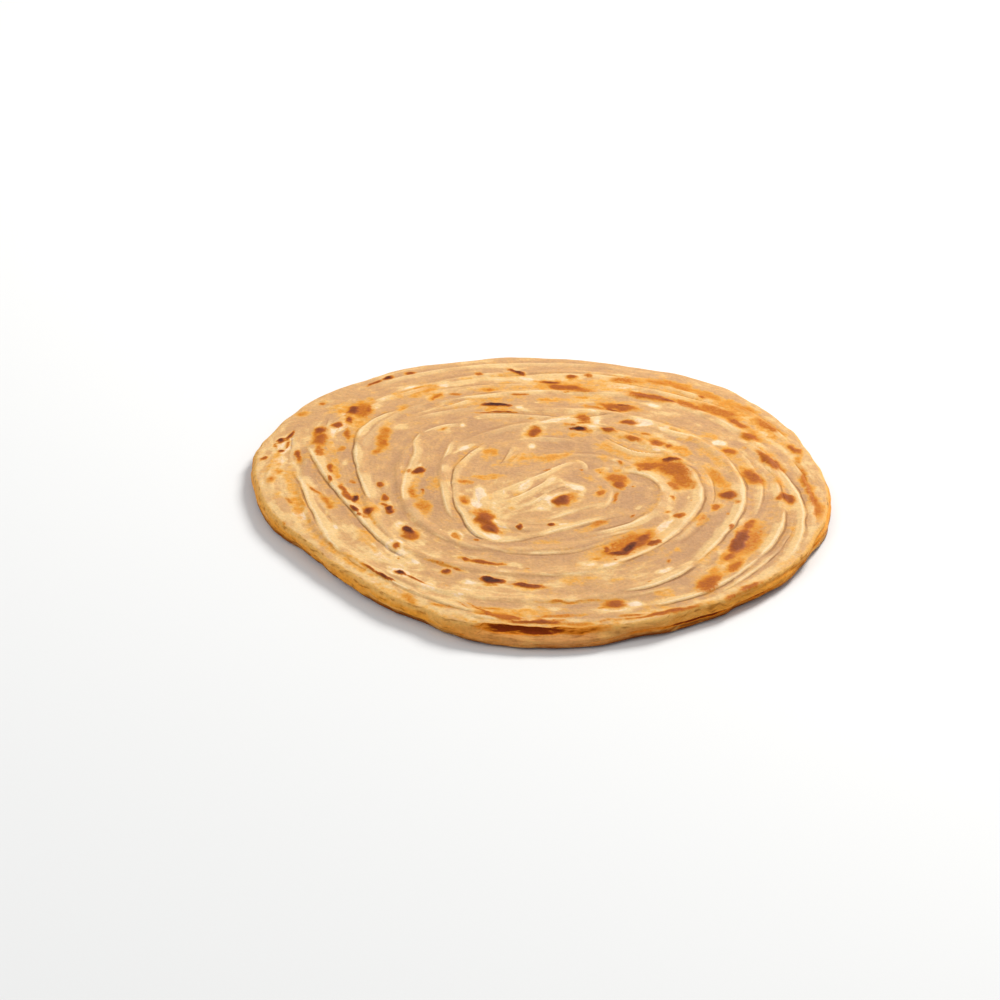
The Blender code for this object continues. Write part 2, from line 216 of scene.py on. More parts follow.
leaf = {
    "wander": 0.14,         # how far a lip strays from its line
    "uneven": 0.28,         # how much its height comes and goes
    "fade": 16.0,           # length over which its ends sink away
    "tall": 0.50,
    "roll": (1.6, 0.65),    # a lip's own widths are multiplied by these
    "rollShare": 0.75,      # of the lip's height, and the rest slopes away inwards
    "slope": 1.2,           # reach of that slope, in widths of the inner flank
    "shoulderFade": 3.0,    # a lip sinks away this near to the rim
    "creaseDepth": 0.14,
    "creaseWidth": 0.35,
    "swell": 0.10,          # gentle thickening inside a lip
    "warmWidth": 1.9,       # golden edging beside the hairline, browning that also paints crease shade
    "warmth": 0.5,
    "clip": 7.0,            # a lip colours the dough up to this far off
    "meeting": 1.3,         # lines fade this near to where two lips meet
    "widest": 5.0,          # place across a lip is kept up to this
    "giveWay": 3.0,         # a lip that sinks away lets its neighbour take over
    "reach": 15.0,          # nothing of a lip is felt further off
}

# Browned spots: x, y, length, width, heat from 0 (gold) to 1 (charred), and the bearing of
# the long side where it doesn't follow the coil
spots = [
    # all over
    (4.2, -77.4, 15, 3.4, 0.34, -10), (-2.6, -75.6, 8, 2.4, 0.42, -12), (7.6, 44.4, 5, 3, 0.42, 0),
    (51.2, -45.6, 8, 4, 0.42, 62), (21, -72.3, 8, 2, 0.44, 12), (37.2, 2.6, 7, 4, 0.42, 110),
    (68.2, -5, 4.4, 3.4, 0.44), (55.2, -7, 4, 2.4, 0.36), (-0.5, -75.2, 10, 1.6, 0.33, 2),
    (-20, -68.9, 8, 1.6, 0.31, -12), (34, -13.4, 3, 2, 0.32), (-55.4, -16.5, 5, 2.6, 0.33, 100),
    # left
    (-84.6, 34, 3, 2.4, 0.86), (-81.6, 37, 6.5, 1.5, 0.74, 72), (-84.3, 26.8, 2.6, 2.4, 0.8),
    (-86.3, 30.6, 5, 1.2, 0.5, 96), (-82.4, 31, 5, 1.2, 0.55, 78), (-89, 21.3, 2.8, 2.4, 0.68),
    (-78.3, 23.5, 8.5, 2.8, 0.62, 98), (-79.3, 52.5, 4.6, 4, 0.34), (-73, 60.3, 3.6, 3, 0.48),
    (-62.8, 55, 8, 4.6, 0.73, 96), (-59.5, 54.5, 13, 8, 0.42, 100), (-57.4, 55.5, 5, 3.4, 0.59, 110),
    (-63.8, 48, 5.5, 2.4, 0.69, 95), (-67.3, 43.5, 4.6, 3.4, 0.62), (-72.6, 40, 6.5, 4.4, 0.69, 92),
    (-72.4, 34, 11, 4.8, 0.51, 92), (-71.8, 26.4, 9, 3.2, 0.42, 98), (-63.6, 38.5, 11, 2.6, 0.47, 96),
    (-65.5, 28, 4, 2.6, 0.34), (-68.3, 14.8, 6, 2.4, 0.55, 105), (-71.7, 0.5, 8.5, 1.7, 0.5, 125),
    (-67.5, 7, 6.5, 1.8, 0.58, 105), (-62.8, 0.8, 9, 2.4, 0.52, 112), (-52.4, 35.5, 20, 5.2, 0.36, 86),
    (-51.4, 32, 9, 4, 0.44, 88), (-54, 25, 6, 3, 0.35), (-40.5, 12.3, 5.4, 2.6, 0.76, 60),
    (-51.5, 3.5, 4.2, 2, 0.56), (-26.5, 5.2, 6, 2.6, 0.36, -15), (-18.5, 8.4, 8, 3.4, 0.27, 10),
    (-83.3, 12.6, 5, 3, 0.35, 20), (-85.7, 7.5, 8, 2.4, 0.35, 80), (-79, -6, 5, 1.6, 0.4, 118),
    (-76, -10, 7, 3, 0.26), (-67.8, -6.5, 9, 2.4, 0.34, 112), (-66.2, -10, 3.2, 2.8, 0.4),
    (-61.6, -4.2, 6, 2.4, 0.56, 115), (-58.8, -5.5, 5, 2.8, 0.88, 100), (-59, -12, 6.5, 2, 0.78, 115),
    (-57.4, -15.6, 3, 2, 0.6), (-54.8, -13.3, 4.8, 3.2, 0.78, 80), (-50.5, -4.5, 4.6, 2.6, 0.56, 95),
    (-48.5, -12.2, 4.8, 3.4, 0.84, 100), (-50, -9, 3.4, 2, 0.5), (-42, -1.5, 10, 3.2, 0.36, 96),
    (-38.8, -10.5, 8.5, 5, 0.33, 110), (-38.5, -0.3, 2.8, 2, 0.64), (-40, -5, 5, 3, 0.22),
    (-26.3, -7, 6, 4.6, 0.36), (-26.3, -7.6, 2.6, 2.4, 0.52), (-42.4, -25, 5.6, 2.8, 0.88, 118),
    (-42.2, -27.2, 8, 4.8, 0.5, 108), (-20.3, -17.6, 11.5, 6.4, 0.58, 106),
    (-18.4, -23.6, 9, 4.8, 0.6, 126), (-17.6, -25.4, 6, 1.8, 0.74, 132), (-45.5, -34.8, 4.6, 2.8, 0.54, 92),
    (-28.3, -28.5, 5, 2.8, 0.35, 100), (-20.5, 8.4, 11, 2.6, 0.25, 10), (-52, -36, 4.4, 1.2, 0.3),
    (-51.7, -47.9, 9, 1.2, 0.6, 127), (-47.6, -52, 7, 1.6, 0.8, 135), (-44.2, -49.4, 3.6, 2.5, 0.95, -20),
    (-39.5, -53, 8.5, 1.1, 0.62, -42), (-32.8, -44.5, 14, 1.7, 0.36, -31),
    (-27.3, -48, 3.2, 1.4, 0.56, -35), (-30.5, -48.9, 3.4, 3, 0.72), (-24.8, -41.7, 3.4, 2.4, 0.57),
    (-20, -43.2, 12, 2.4, 0.59, -12), (-18.2, -53.4, 7, 3, 0.93, -8), (-18.5, -55.8, 5.4, 2.2, 0.31, -6),
    (-8.5, -56.4, 9, 2.6, 0.74, -10), (-8.5, -57.8, 8, 2, 0.26), (-9.8, -22.6, 3.2, 1.3, 0.76, 90),
    (-0.2, -21.5, 2.4, 1.7, 0.72),
    # back
    (-16.5, 58.7, 9, 2.7, 0.97, 0), (-16.5, 55.6, 9.5, 3.6, 0.3, 0), (-16.5, 55.6, 8.5, 3, 0.3, 0),
    (-16.5, 52.7, 13, 1.5, 0.62, 0), (-4.8, 39.5, 7.2, 4.2, 0.6, 72), (-19.2, 24, 7.5, 4.6, 0.3, 90),
    (-18.6, 25, 4, 3, 0.3, 90), (-52.3, 79.4, 3.6, 2.7, 0.9), (-57, 76, 7.5, 1.2, 0.62, 45),
    (-44.7, 83.3, 3.2, 2.7, 0.72), (-39, 69, 8, 6, 0.28), (-36.4, 64.8, 5, 4, 0.3), (-47, 56.4, 4, 4, 0.3),
    (-36.1, 64.5, 5.5, 3, 0.48, 60), (-22.5, 81.8, 4, 2.7, 0.58, 95), (-26.8, 79, 4, 2.2, 0.28),
    (-10, 83.2, 7.5, 2.3, 0.85, -48), (-18.8, 70.2, 3.6, 2.6, 0.34), (-9, 66, 8, 1.8, 0.44, 0),
    (-59.5, 60.5, 8, 4, 0.2), (-47, 56, 5, 2.2, 0.26, 90), (-67, 57, 9, 5, 0.2), (-12, 81, 8, 4, 0.2),
    (1, 75.6, 8, 3.4, 0.74, -4), (6, 71.8, 18, 5.6, 0.52, -16), (11.5, 68.1, 9, 2, 0.52, -4),
    (8.2, 80, 3.8, 2.5, 0.57), (13.5, 80.5, 3.4, 3, 0.45), (25.5, 77, 14, 5.2, 0.38, -6),
    (38, 75.6, 16, 6, 0.34, -20), (43.5, 72.4, 14, 4.6, 0.34, -28), (23, 57, 15, 5.6, 0.52, -18),
    (24, 58.7, 4.6, 2.2, 0.75, -10), (21, 54.9, 6, 1.6, 0.66, -28), (15, 57, 8, 3, 0.35),
    (11.2, 49, 8, 5, 0.46, 90), (10.6, 45.7, 5.2, 2, 0.52, 0), (25.7, 46.2, 6.6, 4, 0.6, 0),
    (8.8, 41.4, 5, 2.6, 1, 0), (19.6, 40.4, 5, 4.2, 0.6), (12.5, 40, 3.6, 3, 0.31),
    (26.5, 34.2, 7.4, 5.4, 0.5), (33.6, 31.7, 6, 6, 0.5), (37.1, 29.1, 3.8, 4, 0.48), (41, 25.6, 7, 5, 0.3),
    (41.4, 25.4, 5, 4, 0.3), (33.6, 64.4, 18, 5.2, 0.56, -22), (39, 61.9, 4.6, 1.6, 0.72, -25),
    (46, 58.4, 14, 5, 0.44, -40), (55, 54, 20, 7, 0.4, -42), (60, 46, 12, 4.2, 0.48, -52),
    (60, 56.5, 10, 4, 0.18, -50), (69.6, 44, 15, 5, 0.39, -62), (52, 66, 16, 4.6, 0.31, -38),
    (63, 57, 14, 5, 0.31, -48), (64, 35.8, 8, 5.2, 0.5, -50), (55.8, 25.6, 6, 4, 0.49, -45),
    (50, 37, 5, 3, 0.22), (5, 62, 12, 3, 0.18), (1, 22, 11, 3.8, 0.3, 22), (2, 22.4, 7, 3, 0.28, 22),
    (-78, 3, 24, 4, 0.24, 102), (-85, 16, 16, 3.4, 0.26, 88), (-70.5, -24, 18, 2.6, 0.2, 118),
    (-60, -40, 26, 3, 0.26, 130), (-20.2, -70.5, 11, 1, 0.5, -48), (-18, -73, 8, 0.9, 0.46, -30),
    (-25.5, -67.3, 6, 0.9, 0.42, -48), (-41, -63.5, 10, 3, 0.31, -70), (-32, -67.4, 8, 2, 0.33, -22),
    (2.8, -64.9, 14, 1.3, 0.36, 2), (-44, -62, 28, 2.6, 0.28, 140), (-26, -75, 24, 2.6, 0.28, 155),
    (-10, -70.4, 22, 3.4, 0.3, 4), (-26, 60, 14, 5, 0.2, 20), (-14, 62.4, 10, 3, 0.18, 6),
    (44, 66, 20, 4, 0.28, -36), (62, 52, 22, 5, 0.3, -50), (56, 62, 24, 4, 0.3, -45),
    (72, 36, 22, 4, 0.3, -66), (24, 38, 12, 6, 0.18, -20), (30, 22, 20, 8, 0.22, -20),
    (59, 14, 18, 5, 0.2, -72), (50, 22, 14, 5, 0.26, -60), (-67.5, 20, 26, 3, 0.2, 98),
    (-56, -12, 18, 6, 0.24, 110), (-62.6, 48, 16, 6, 0.28, 110), (-44, 68.6, 14, 6, 0.18, 30),
    (14, 74, 30, 6, 0.24, -8), (-10, 71, 24, 5, 0.2, 2), (-8, 22, 8, 4, 0.14), (17.5, 21.6, 5, 4, 0.28),
    (21.4, 18.2, 3.6, 2.2, 0.42), (18, 28, 9, 4, 0.14),
    # right
    (67.6, 20, 16, 4.4, 0.52, -62), (65.5, 25.5, 8, 3.4, 0.28, -58), (61.5, 9, 12, 6.6, 0.5, -76),
    (50.4, 9.2, 13, 5, 0.31, -70), (53, 3, 6, 3, 0.26), (37, 20.3, 5.4, 2.6, 0.76, 10),
    (37.4, 14, 16, 10, 0.47, 128), (31, 16.4, 12, 5, 0.46, 0), (29.8, 14.2, 5.6, 3.6, 0.5, 0),
    (40, 7, 12, 8, 0.43, 110), (43, 3, 4.6, 3.2, 0.31, 90), (20.3, 7.4, 9, 7, 0.44, 95),
    (20.9, 4, 7, 4.4, 0.56, 90), (15.5, 12.6, 4.4, 3, 0.3), (76.2, 27.5, 9, 3.6, 0.51, -72),
    (78.2, -4, 27, 3.6, 0.4, -83), (68.8, 4.6, 6, 2.6, 0.28), (3, -7.2, 7.6, 5.2, 0.7, 56),
    (5.6, -5, 7.5, 5.4, 0.33, 40), (53.4, -2.9, 7, 6.2, 0.64, -40), (70.6, -5, 7.4, 4.6, 0.61, -70),
    (36.2, -4.4, 3.4, 1.7, 0.42, 100), (37.7, -16, 3.8, 2.8, 0.49), (44.4, -16.8, 6, 2, 0.32, 70),
    (49.1, -10.1, 4.4, 3, 0.44, 80), (24, -16.6, 3, 1.3, 0.52, 60), (19, -5, 9, 1.5, 0.46, 82),
    (14.6, -1.6, 6, 3, 0.44), (13.4, -20.5, 7, 4, 0.35), (9, -24, 5, 3, 0.26),
    (18.6, -38.8, 7, 2.8, 0.77, 14), (22.4, -35, 7.5, 3.8, 0.89, 52), (23.5, -34.2, 18, 5.4, 0.53, 46),
    (26, -30.4, 9, 3.6, 0.63, 56), (29, -33, 5, 2.8, 0.66), (15, -36.4, 5.4, 1.6, 0.58, 104),
    (18, -32.8, 7, 1.4, 0.44, 30), (22, -33.4, 26, 12, 0.38, 42), (27.5, -26.6, 6, 3.2, 0.34, 55),
    (57.4, -21, 9, 3.4, 0.46, 66), (54.5, -30.5, 19, 4.8, 0.67, 69), (57.5, -30, 20, 8, 0.36, 69),
    (51, -39.5, 7, 3.6, 0.48, 66), (47.5, -46.5, 16, 5, 0.28, 62), (43.4, -54.9, 13, 6.6, 0.48, 60),
    (54, -40, 8, 3, 0.22, 62), (35, -37, 6, 2, 0.26, 62), (33, -43, 4, 1.5, 0.44, 70),
    (12.6, -41.4, 3.4, 2, 0.32), (16.4, -66.4, 7, 5, 0.55, 12), (30, -60.6, 7, 4, 0.28),
    (52.6, -59.9, 25, 3.8, 0.56, 41), (46.5, -65.8, 9, 2.6, 0.48, 36), (33.5, -69.6, 20, 2.2, 0.52, 19),
    (26, -72.8, 18, 2, 0.5, 14), (77.8, 0, 40, 2.6, 0.4, 92), (17, -53.4, 5, 1.6, 0.24),
    (5, -64.8, 20, 1.3, 0.32, 2), (8, -77.6, 20, 3, 0.31, 2), (-18, -72.6, 9, 2, 0.32, -33),
    (-6, -76.1, 16, 1.6, 0.62, -3), (-14, -73.6, 14, 2.4, 0.47, -8), (0, -72.6, 16, 2.6, 0.36, 2),
    (72, -24, 12, 3, 0.24, 72), (66, -44, 14, 3, 0.24, 52), (40, -75, 18, 2, 0.26, 22),
]

# Blisters with a cream rim: x, y, length, width, bearing
blisters = [
    (-19.6, -20.6, 17, 5.4, 103), (16.4, -67.4, 6.4, 4.8, 12), (-46, -34.8, 6.8, 4.2, 92),
    (-84, 31, 10.5, 5.4, 80), (2.8, -6.4, 8, 5, 60), (26.5, 34, 6, 4.6, 0), (33.6, 31.4, 5, 4.4, 0),
    (-28.3, -28.5, 5.4, 3.2, 100), (-44.2, -49.4, 4.4, 3.2, -20), (-4.8, 39.5, 8.6, 5.4, 72),
    (-41, 12.8, 5.6, 3, 70), (61.5, 9, 12.4, 7, -76),
]

# Paler (above 0) and greyer (below 0) stretches, the palest of them painted highlights and sheen: x, y,
# length, width, tone, and bearing of the long side
tones = [
    # all over
    (-60.4, -48.4, 5, 3, 1.8, 128), (-24.8, -0.8, 4, 4, 1.2, 0), (47.8, -30.4, 10, 3, -0.8, 66),
    (-11.4, -45, 6, 2.6, 1, 0), (37.7, -20.2, 4, 3, -0.7, 0), (-74.1, -16.5, 6, 3, 1, 118),
    (-52.6, 63.5, 8, 3, 1.1, 30), (-44, 6.4, 9, 3.4, 1.6, 95), (-22.5, -2.4, 12, 4.4, 1.8, 95),
    (-27.4, 27, 4, 3.4, 0.9, 60), (7, 2.4, 9, 4.4, 1.9, -30), (-1, 4, 7, 2.4, 1, 60),
    (9.4, -2, 6, 3, 0.9, 70), (-5.4, 29.4, 5, 3, 0.8, 70), (-27.6, 44, 5, 2, 0.7, 90),
    (-47, 43, 5.4, 4, 0.8, 30), (24.5, 72, 9, 3.4, 1.8, 0), (30, 45.6, 5, 4, 1, 20),
    (37, 42, 4.4, 3.6, 0.9, 0), (46, 37, 10, 3, 0.8, -45), (32.4, -22.6, 12, 3.4, 1.8, 60),
    (10, -44.4, 4, 2.6, 0.9, 0), (22, -66.6, 8, 4, 1.6, -10), (53, 32, 5, 3, 0.7, -30),
    (-66, 52, 4, 3, 0.9, 60), (-68.6, 38.4, 6, 2, 0.8, 95), (-84.3, 30.6, 5.4, 2.2, 1, 82),
    (-7, 68.6, 16, 3.4, 1.5, 0), (-9.6, 57.4, 4, 3, 0.9, 60), (16, 49.6, 5, 2.2, 0.9, 85),
    (3, 47, 11, 2.6, 0.7, 12), (17.2, -36.4, 4, 3.4, 2, 60), (-8, 2, 12, 4, 0.8, 60),
    (-18, -4, 16, 8, 0.5, 80), (-47, 72, 9, 4, 0.7, 30), (44, -53.4, 2.2, 2, 0.8, 60),
    (28, -69.6, 6, 1.8, 0.5, 12), (53, -44, 7, 2, 0.9, 58), (46, -55, 12, 2, 0.6, 50),
    (61, -31, 8, 2.6, 0.8, 66), (-78, -18, 16, 3, 0.7, 118), (-66, -43, 26, 4, 0.6, 130),
    (-53, -58, 22, 4, 0.8, 136), (-35, -71, 24, 3.4, 0.8, 150), (-51, -28, 12, 4, 0.7, 122),
    (-36, -34, 14, 3, 0.5, 130), (14, -80.6, 20, 3, 1, 6), (-30, -66, 14, 3, 0.7, 150),
    (-20, -60, 30, 10, 0.35, -8), (12, -50, 60, 12, 0.5, 6), (-60, -30, 30, 12, 0.25, 120),
    (-14, 90, 40, 6, 0.4, 0), (-56, -34, 60, 26, 0.5, 128), (-20, -62, 60, 16, 0.4, -6),
    (-14, -8, 40, 30, 0.2, 60), (44, 62, 60, 14, 0.3, -38), (-80, 8, 44, 11, 0.9, 100),
    (-84, 20, 14, 4, 0.7, 84), (-70, -22, 30, 6, 0.8, 118), (-62, 47, 26, 12, 0.5, 120),
    (0, 79, 70, 9, 0.6, 0), (50, 66, 40, 8, 0.5, -38), (-30, 70, 36, 6, 0.5, 25),
    (66, 47, 24, 3.4, 0.9, -52), (72.6, 28, 24, 3, 0.9, -65), (76.4, -14, 34, 2.6, 0.8, 84),
    (65, -46, 26, 3, 0.9, 52), (36, -6, 22, 4, 1, 84), (38, 19, 8, 3, 0.8, -30), (10, 54, 34, 4, 0.6, 0),
    (30, 46, 16, 6, 0.7, -10), (-8, 45, 16, 3.4, 0.5, 10), (-31, 6, 30, 3, 0.7, 92),
    (-46, -40, 20, 8, 0.5, 130), (-6, -70, 50, 5, 0.5, 0), (-20, 88, 26, 3, 0.7, 8),
    (45, -28, 34, 7, -1.1, 60), (24.4, -4, 18, 8, -1, 88), (-37.6, 3, 26, 6, -0.9, 92),
    (-65.4, 4, 26, 4.6, -0.9, 104), (-74.6, 14, 16, 4, -0.9, 104), (43, 33.4, 13, 4.4, -1.1, -38),
    (2, 31, 18, 8, -0.9, 0), (-5, 4, 30, 12, 0.4, 45), (-8, -12, 26, 7, 0.5, 30), (-9, 4, 22, 3, 0.6, 42),
    (-6, -3, 20, 3, 0.7, 45), (-5, -8, 16, 3, 0.6, 35), (10, -12, 20, 3, 0.6, 28), (0, -26, 30, 4, 0.5, 15),
    (-22, -28, 14, 4, 0.6, 170),
    # back
    (-46, 71, 8, 3, 1, 25), (-36, 74, 22, 4, 0.9, 8), (-32.8, 40, 4.4, 6, 1, 30),
    (-27.2, 43.6, 3, 3.4, 1.6, 0), (-22.6, 48.9, 3, 2.6, 1.3, 0), (-25.4, 28.8, 6, 2, 1.4, 44),
    (-22, 26.8, 6, 1.4, 1.2, 44), (-5.4, 29.7, 3, 4, 1.2, 0), (5, 49, 9, 2.4, 1.2, 18),
    (-9, 56, 4, 3, 1, -30), (14.7, 47.8, 4, 5, 1.2, 0), (30.1, 45.1, 7, 4.6, 1, -10),
    (37, 41.5, 4, 4, 1, 0), (40, 38.6, 9, 3, 1.1, -28), (46, 35.6, 7, 2.6, 1.1, -25),
    (39, 52.4, 14, 3, 0.7, -20), (53.5, 31.7, 5, 4, 1.2, 0), (30, 25.6, 9, 3, 1.1, -2),
    (11.9, 61.2, 7, 4, 0.8, 0),
    # mostly greyer
    (8, 8, 9, 8, -0.7, 50), (62.4, -16, 18, 6, -0.8, 80), (60, 30, 9, 4, -0.8, -45),
    (-36, 60.6, 12, 4, -0.9, 40), (-57, 43, 13, 3, -0.8, 70), (38, 52, 26, 6, -0.2, -28),
    (8, 58, 18, 4, -0.4, 0), (26, 9, 8, 6, -0.8, 60), (37, -8, 12, 4, -0.6, 80), (31, -43, 18, 5, -0.5, 45),
    (12, -33, 18, 3, -0.6, 20), (71.5, 0, 18, 3, -0.7, -85), (-32, 18, 26, 2, -0.5, 85),
    (66, -30, 16, 2.6, -0.6, 66), (-20, 40, 26, 12, -0.4, 20), (20, 88, 30, 5, -0.4, -12),
    (-72, -28, 14, 3, -0.5, 118), (42, -63.4, 10, 1.8, -0.9, 36), (7, -74, 14, 5, -0.5, 0),
    (-47, 20, 20, 8, -0.3, 92), (0, -30, 20, 5, -0.3, 5),
]

toast = {
    "ragged": 0.30,         # how ragged a spot's outline is
    "raggedCell": 2.4,
    "warp": 0.55,           # how far its outline is pushed about
    "spotEdge": (0.35, 1.42),
    "charCore": 0.24,       # a charred spot is dark this much further out
    "goldBelow": 0.30,      # a place with less heat than this is only golden
    "goldFlat": 0.65,       # an only golden place is evenly golden out to this
    "palerAbove": 0.45,     # hotter spots have a paler ring outside the golden one
    "palerRing": (0.45, 1.75, 0.45),      # strength, place and width, as multiples of its size
    "blisterRing": (0.9, 1.12, 0.24),
    "toneEdge": (0.45, 1.35),
    "haloFlat": 0.3,        # a spot's golden halo, from and to these multiples of its size
    "haloReach": 1.8,
    "haloStrength": 0.72,
    "puff": 0.22,           # how far a browned blister stands up
    "scatter": 90,          # spots by chance lie this near to the middle

    # Scattered by chance: count, sizes, heats or tones, longest shape, seed
    "flecks": (90, (0.7, 2.0), (0.12, 0.50), 2.6, 20),
    "gold": (62, (2.0, 6.0), (0.02, 0.24), 3.2, 61),
    # pale flecks, some of them painted glints
    "paleFlecksAndGlints": (170, (0.8, 3.2), (0.3, 1.2), 3.5, 62),
    "greyFlecks": (60, (2.5, 7.0), (-0.7, -0.2), 3.0, 63),
    "underside": (170, (2.0, 9.0), (0.15, 0.95), 2.0, 21),
}


def cubic(a, b, c, d, f):
    # smooth curve from b to c, with a before and d after
    return b + 0.5 * f * (c - a + f * (2 * a - 5 * b + 4 * c - d + f * (3 * (b - c) + d - a)))


def readAround(values, bearing):
    # values given at even steps round the bread
    values = np.asarray(values)
    place = (bearing % 360.0) * len(values) / 360.0
    n = np.floor(place).astype(int)
    near = [values[(n + k) % len(values)] for k in (-1, 0, 1, 2)]
    return cubic(*near, place - n)


def readAlong(values, place):
    # values given at even steps along a line
    values = np.asarray(values)
    last = len(values) - 1
    n = np.clip(np.floor(place).astype(int), 0, last - 1)
    near = [values[np.clip(n + k, 0, last)] for k in (-1, 0, 1, 2)]
    return cubic(*near, place - n)


def softNoise(x, y, cell, seed):
    # smooth noise from -1 to 1, its bumps about one cell across
    table = np.random.default_rng(seed).uniform(-1.0, 1.0, (256, 256))
    u, v = x / cell + 128.0, y / cell + 128.0
    i, j = np.floor(u).astype(int), np.floor(v).astype(int)
    fu, fv = u - i, v - j
    fu = fu * fu * fu * (fu * (fu * 6 - 15) + 10)
    fv = fv * fv * fv * (fv * (fv * 6 - 15) + 10)
    i0, j0, i1, j1 = i % 256, j % 256, (i + 1) % 256, (j + 1) % 256
    low = table[i0, j0] * (1 - fu) + table[i1, j0] * fu
    high = table[i0, j1] * (1 - fu) + table[i1, j1] * fu
    return low * (1 - fv) + high * fv


def layeredNoise(x, y, cell, seed, layers=3):
    total = 0.0
    for layer in range(layers):
        total = total + softNoise(x, y, cell / 2 ** layer, seed + layer) / 2 ** layer
        x, y = x * 0.8 - y * 0.6, x * 0.6 + y * 0.8
    return total


def noiseAround(bearing, radius, cell, seed, layers=3):
    # noise that closes up on itself round the bread
    angle = np.radians(bearing)
    return layeredNoise(radius * np.cos(angle), radius * np.sin(angle), cell, seed, layers)


def noiseAlong(along, row, cell, seed, layers=1):
    # noise along a lip, another one in each row
    return layeredNoise(along, 0 * along + row, cell, seed, layers)


def smoothStep(low, high, value):
    f = np.clip((value - low) / (high - low), 0.0, 1.0)
    return f * f * (3 - 2 * f)


def edgeRadius(bearing):
    return readAround(bread["edgeRadii"], bearing) + bread["edgeRagged"] * noiseAround(bearing, 60, 9.0, 3)


def hollowShare(bearing):
    # 1 in the middle of the hollow, 0 beyond its ends
    off = np.abs((bearing - hollow["bearing"] + 180.0) % 360.0 - 180.0)
    return smoothStep(0.0, hollow["ends"], hollow["halfSpan"] - off)


def shoulderInset(bearing):
    ragged = 1 + hollow["ragged"] * noiseAround(bearing, 80, 7.0, 19)
    return bread["shoulder"] + hollow["back"] * hollowShare(bearing) * ragged


def insideShoulder(x, y):
    # how far each point lies inside the line where the rim begins
    bearing = np.degrees(np.arctan2(y, x))
    return edgeRadius(bearing) - shoulderInset(bearing) - np.hypot(x, y)


def smoothLine(points):
    # a traced line, filled in to a point about every millimetre
    points = np.array(points, float)
    last = len(points) - 1
    line = []
    for n in range(last):
        near = [points[min(max(n + k, 0), last)] for k in (-1, 0, 1, 2)]
        steps = max(2, int(np.hypot(*(near[2] - near[1]))))
        line += [cubic(*near, step / steps) for step in range(steps)]
    return np.array(line + [points[-1]])


def measureFrom(line, x, y):
    # distance from the line, place along it, side (1 away from the coil's middle, -1 towards it)
    # and the line's length
    away = np.full(x.shape, 1e6)
    along, side = np.zeros(x.shape), np.ones(x.shape)
    passed = 0.0
    for (ax, ay), (bx, by) in zip(line[:-1], line[1:]):
        dx, dy = bx - ax, by - ay
        length = math.hypot(dx, dy)
        f = np.clip(((x - ax) * dx + (y - ay) * dy) / length ** 2, 0, 1)
        px, py = ax + f * dx, ay + f * dy
        gap = np.hypot(x - px, y - py)
        closer = gap < away
        away = np.where(closer, gap, away)
        along = np.where(closer, passed + f * length, along)
        side = np.where(closer, np.sign((x - px) * px + (y - py) * py), side)
        passed += length
    return away, along, side, passed


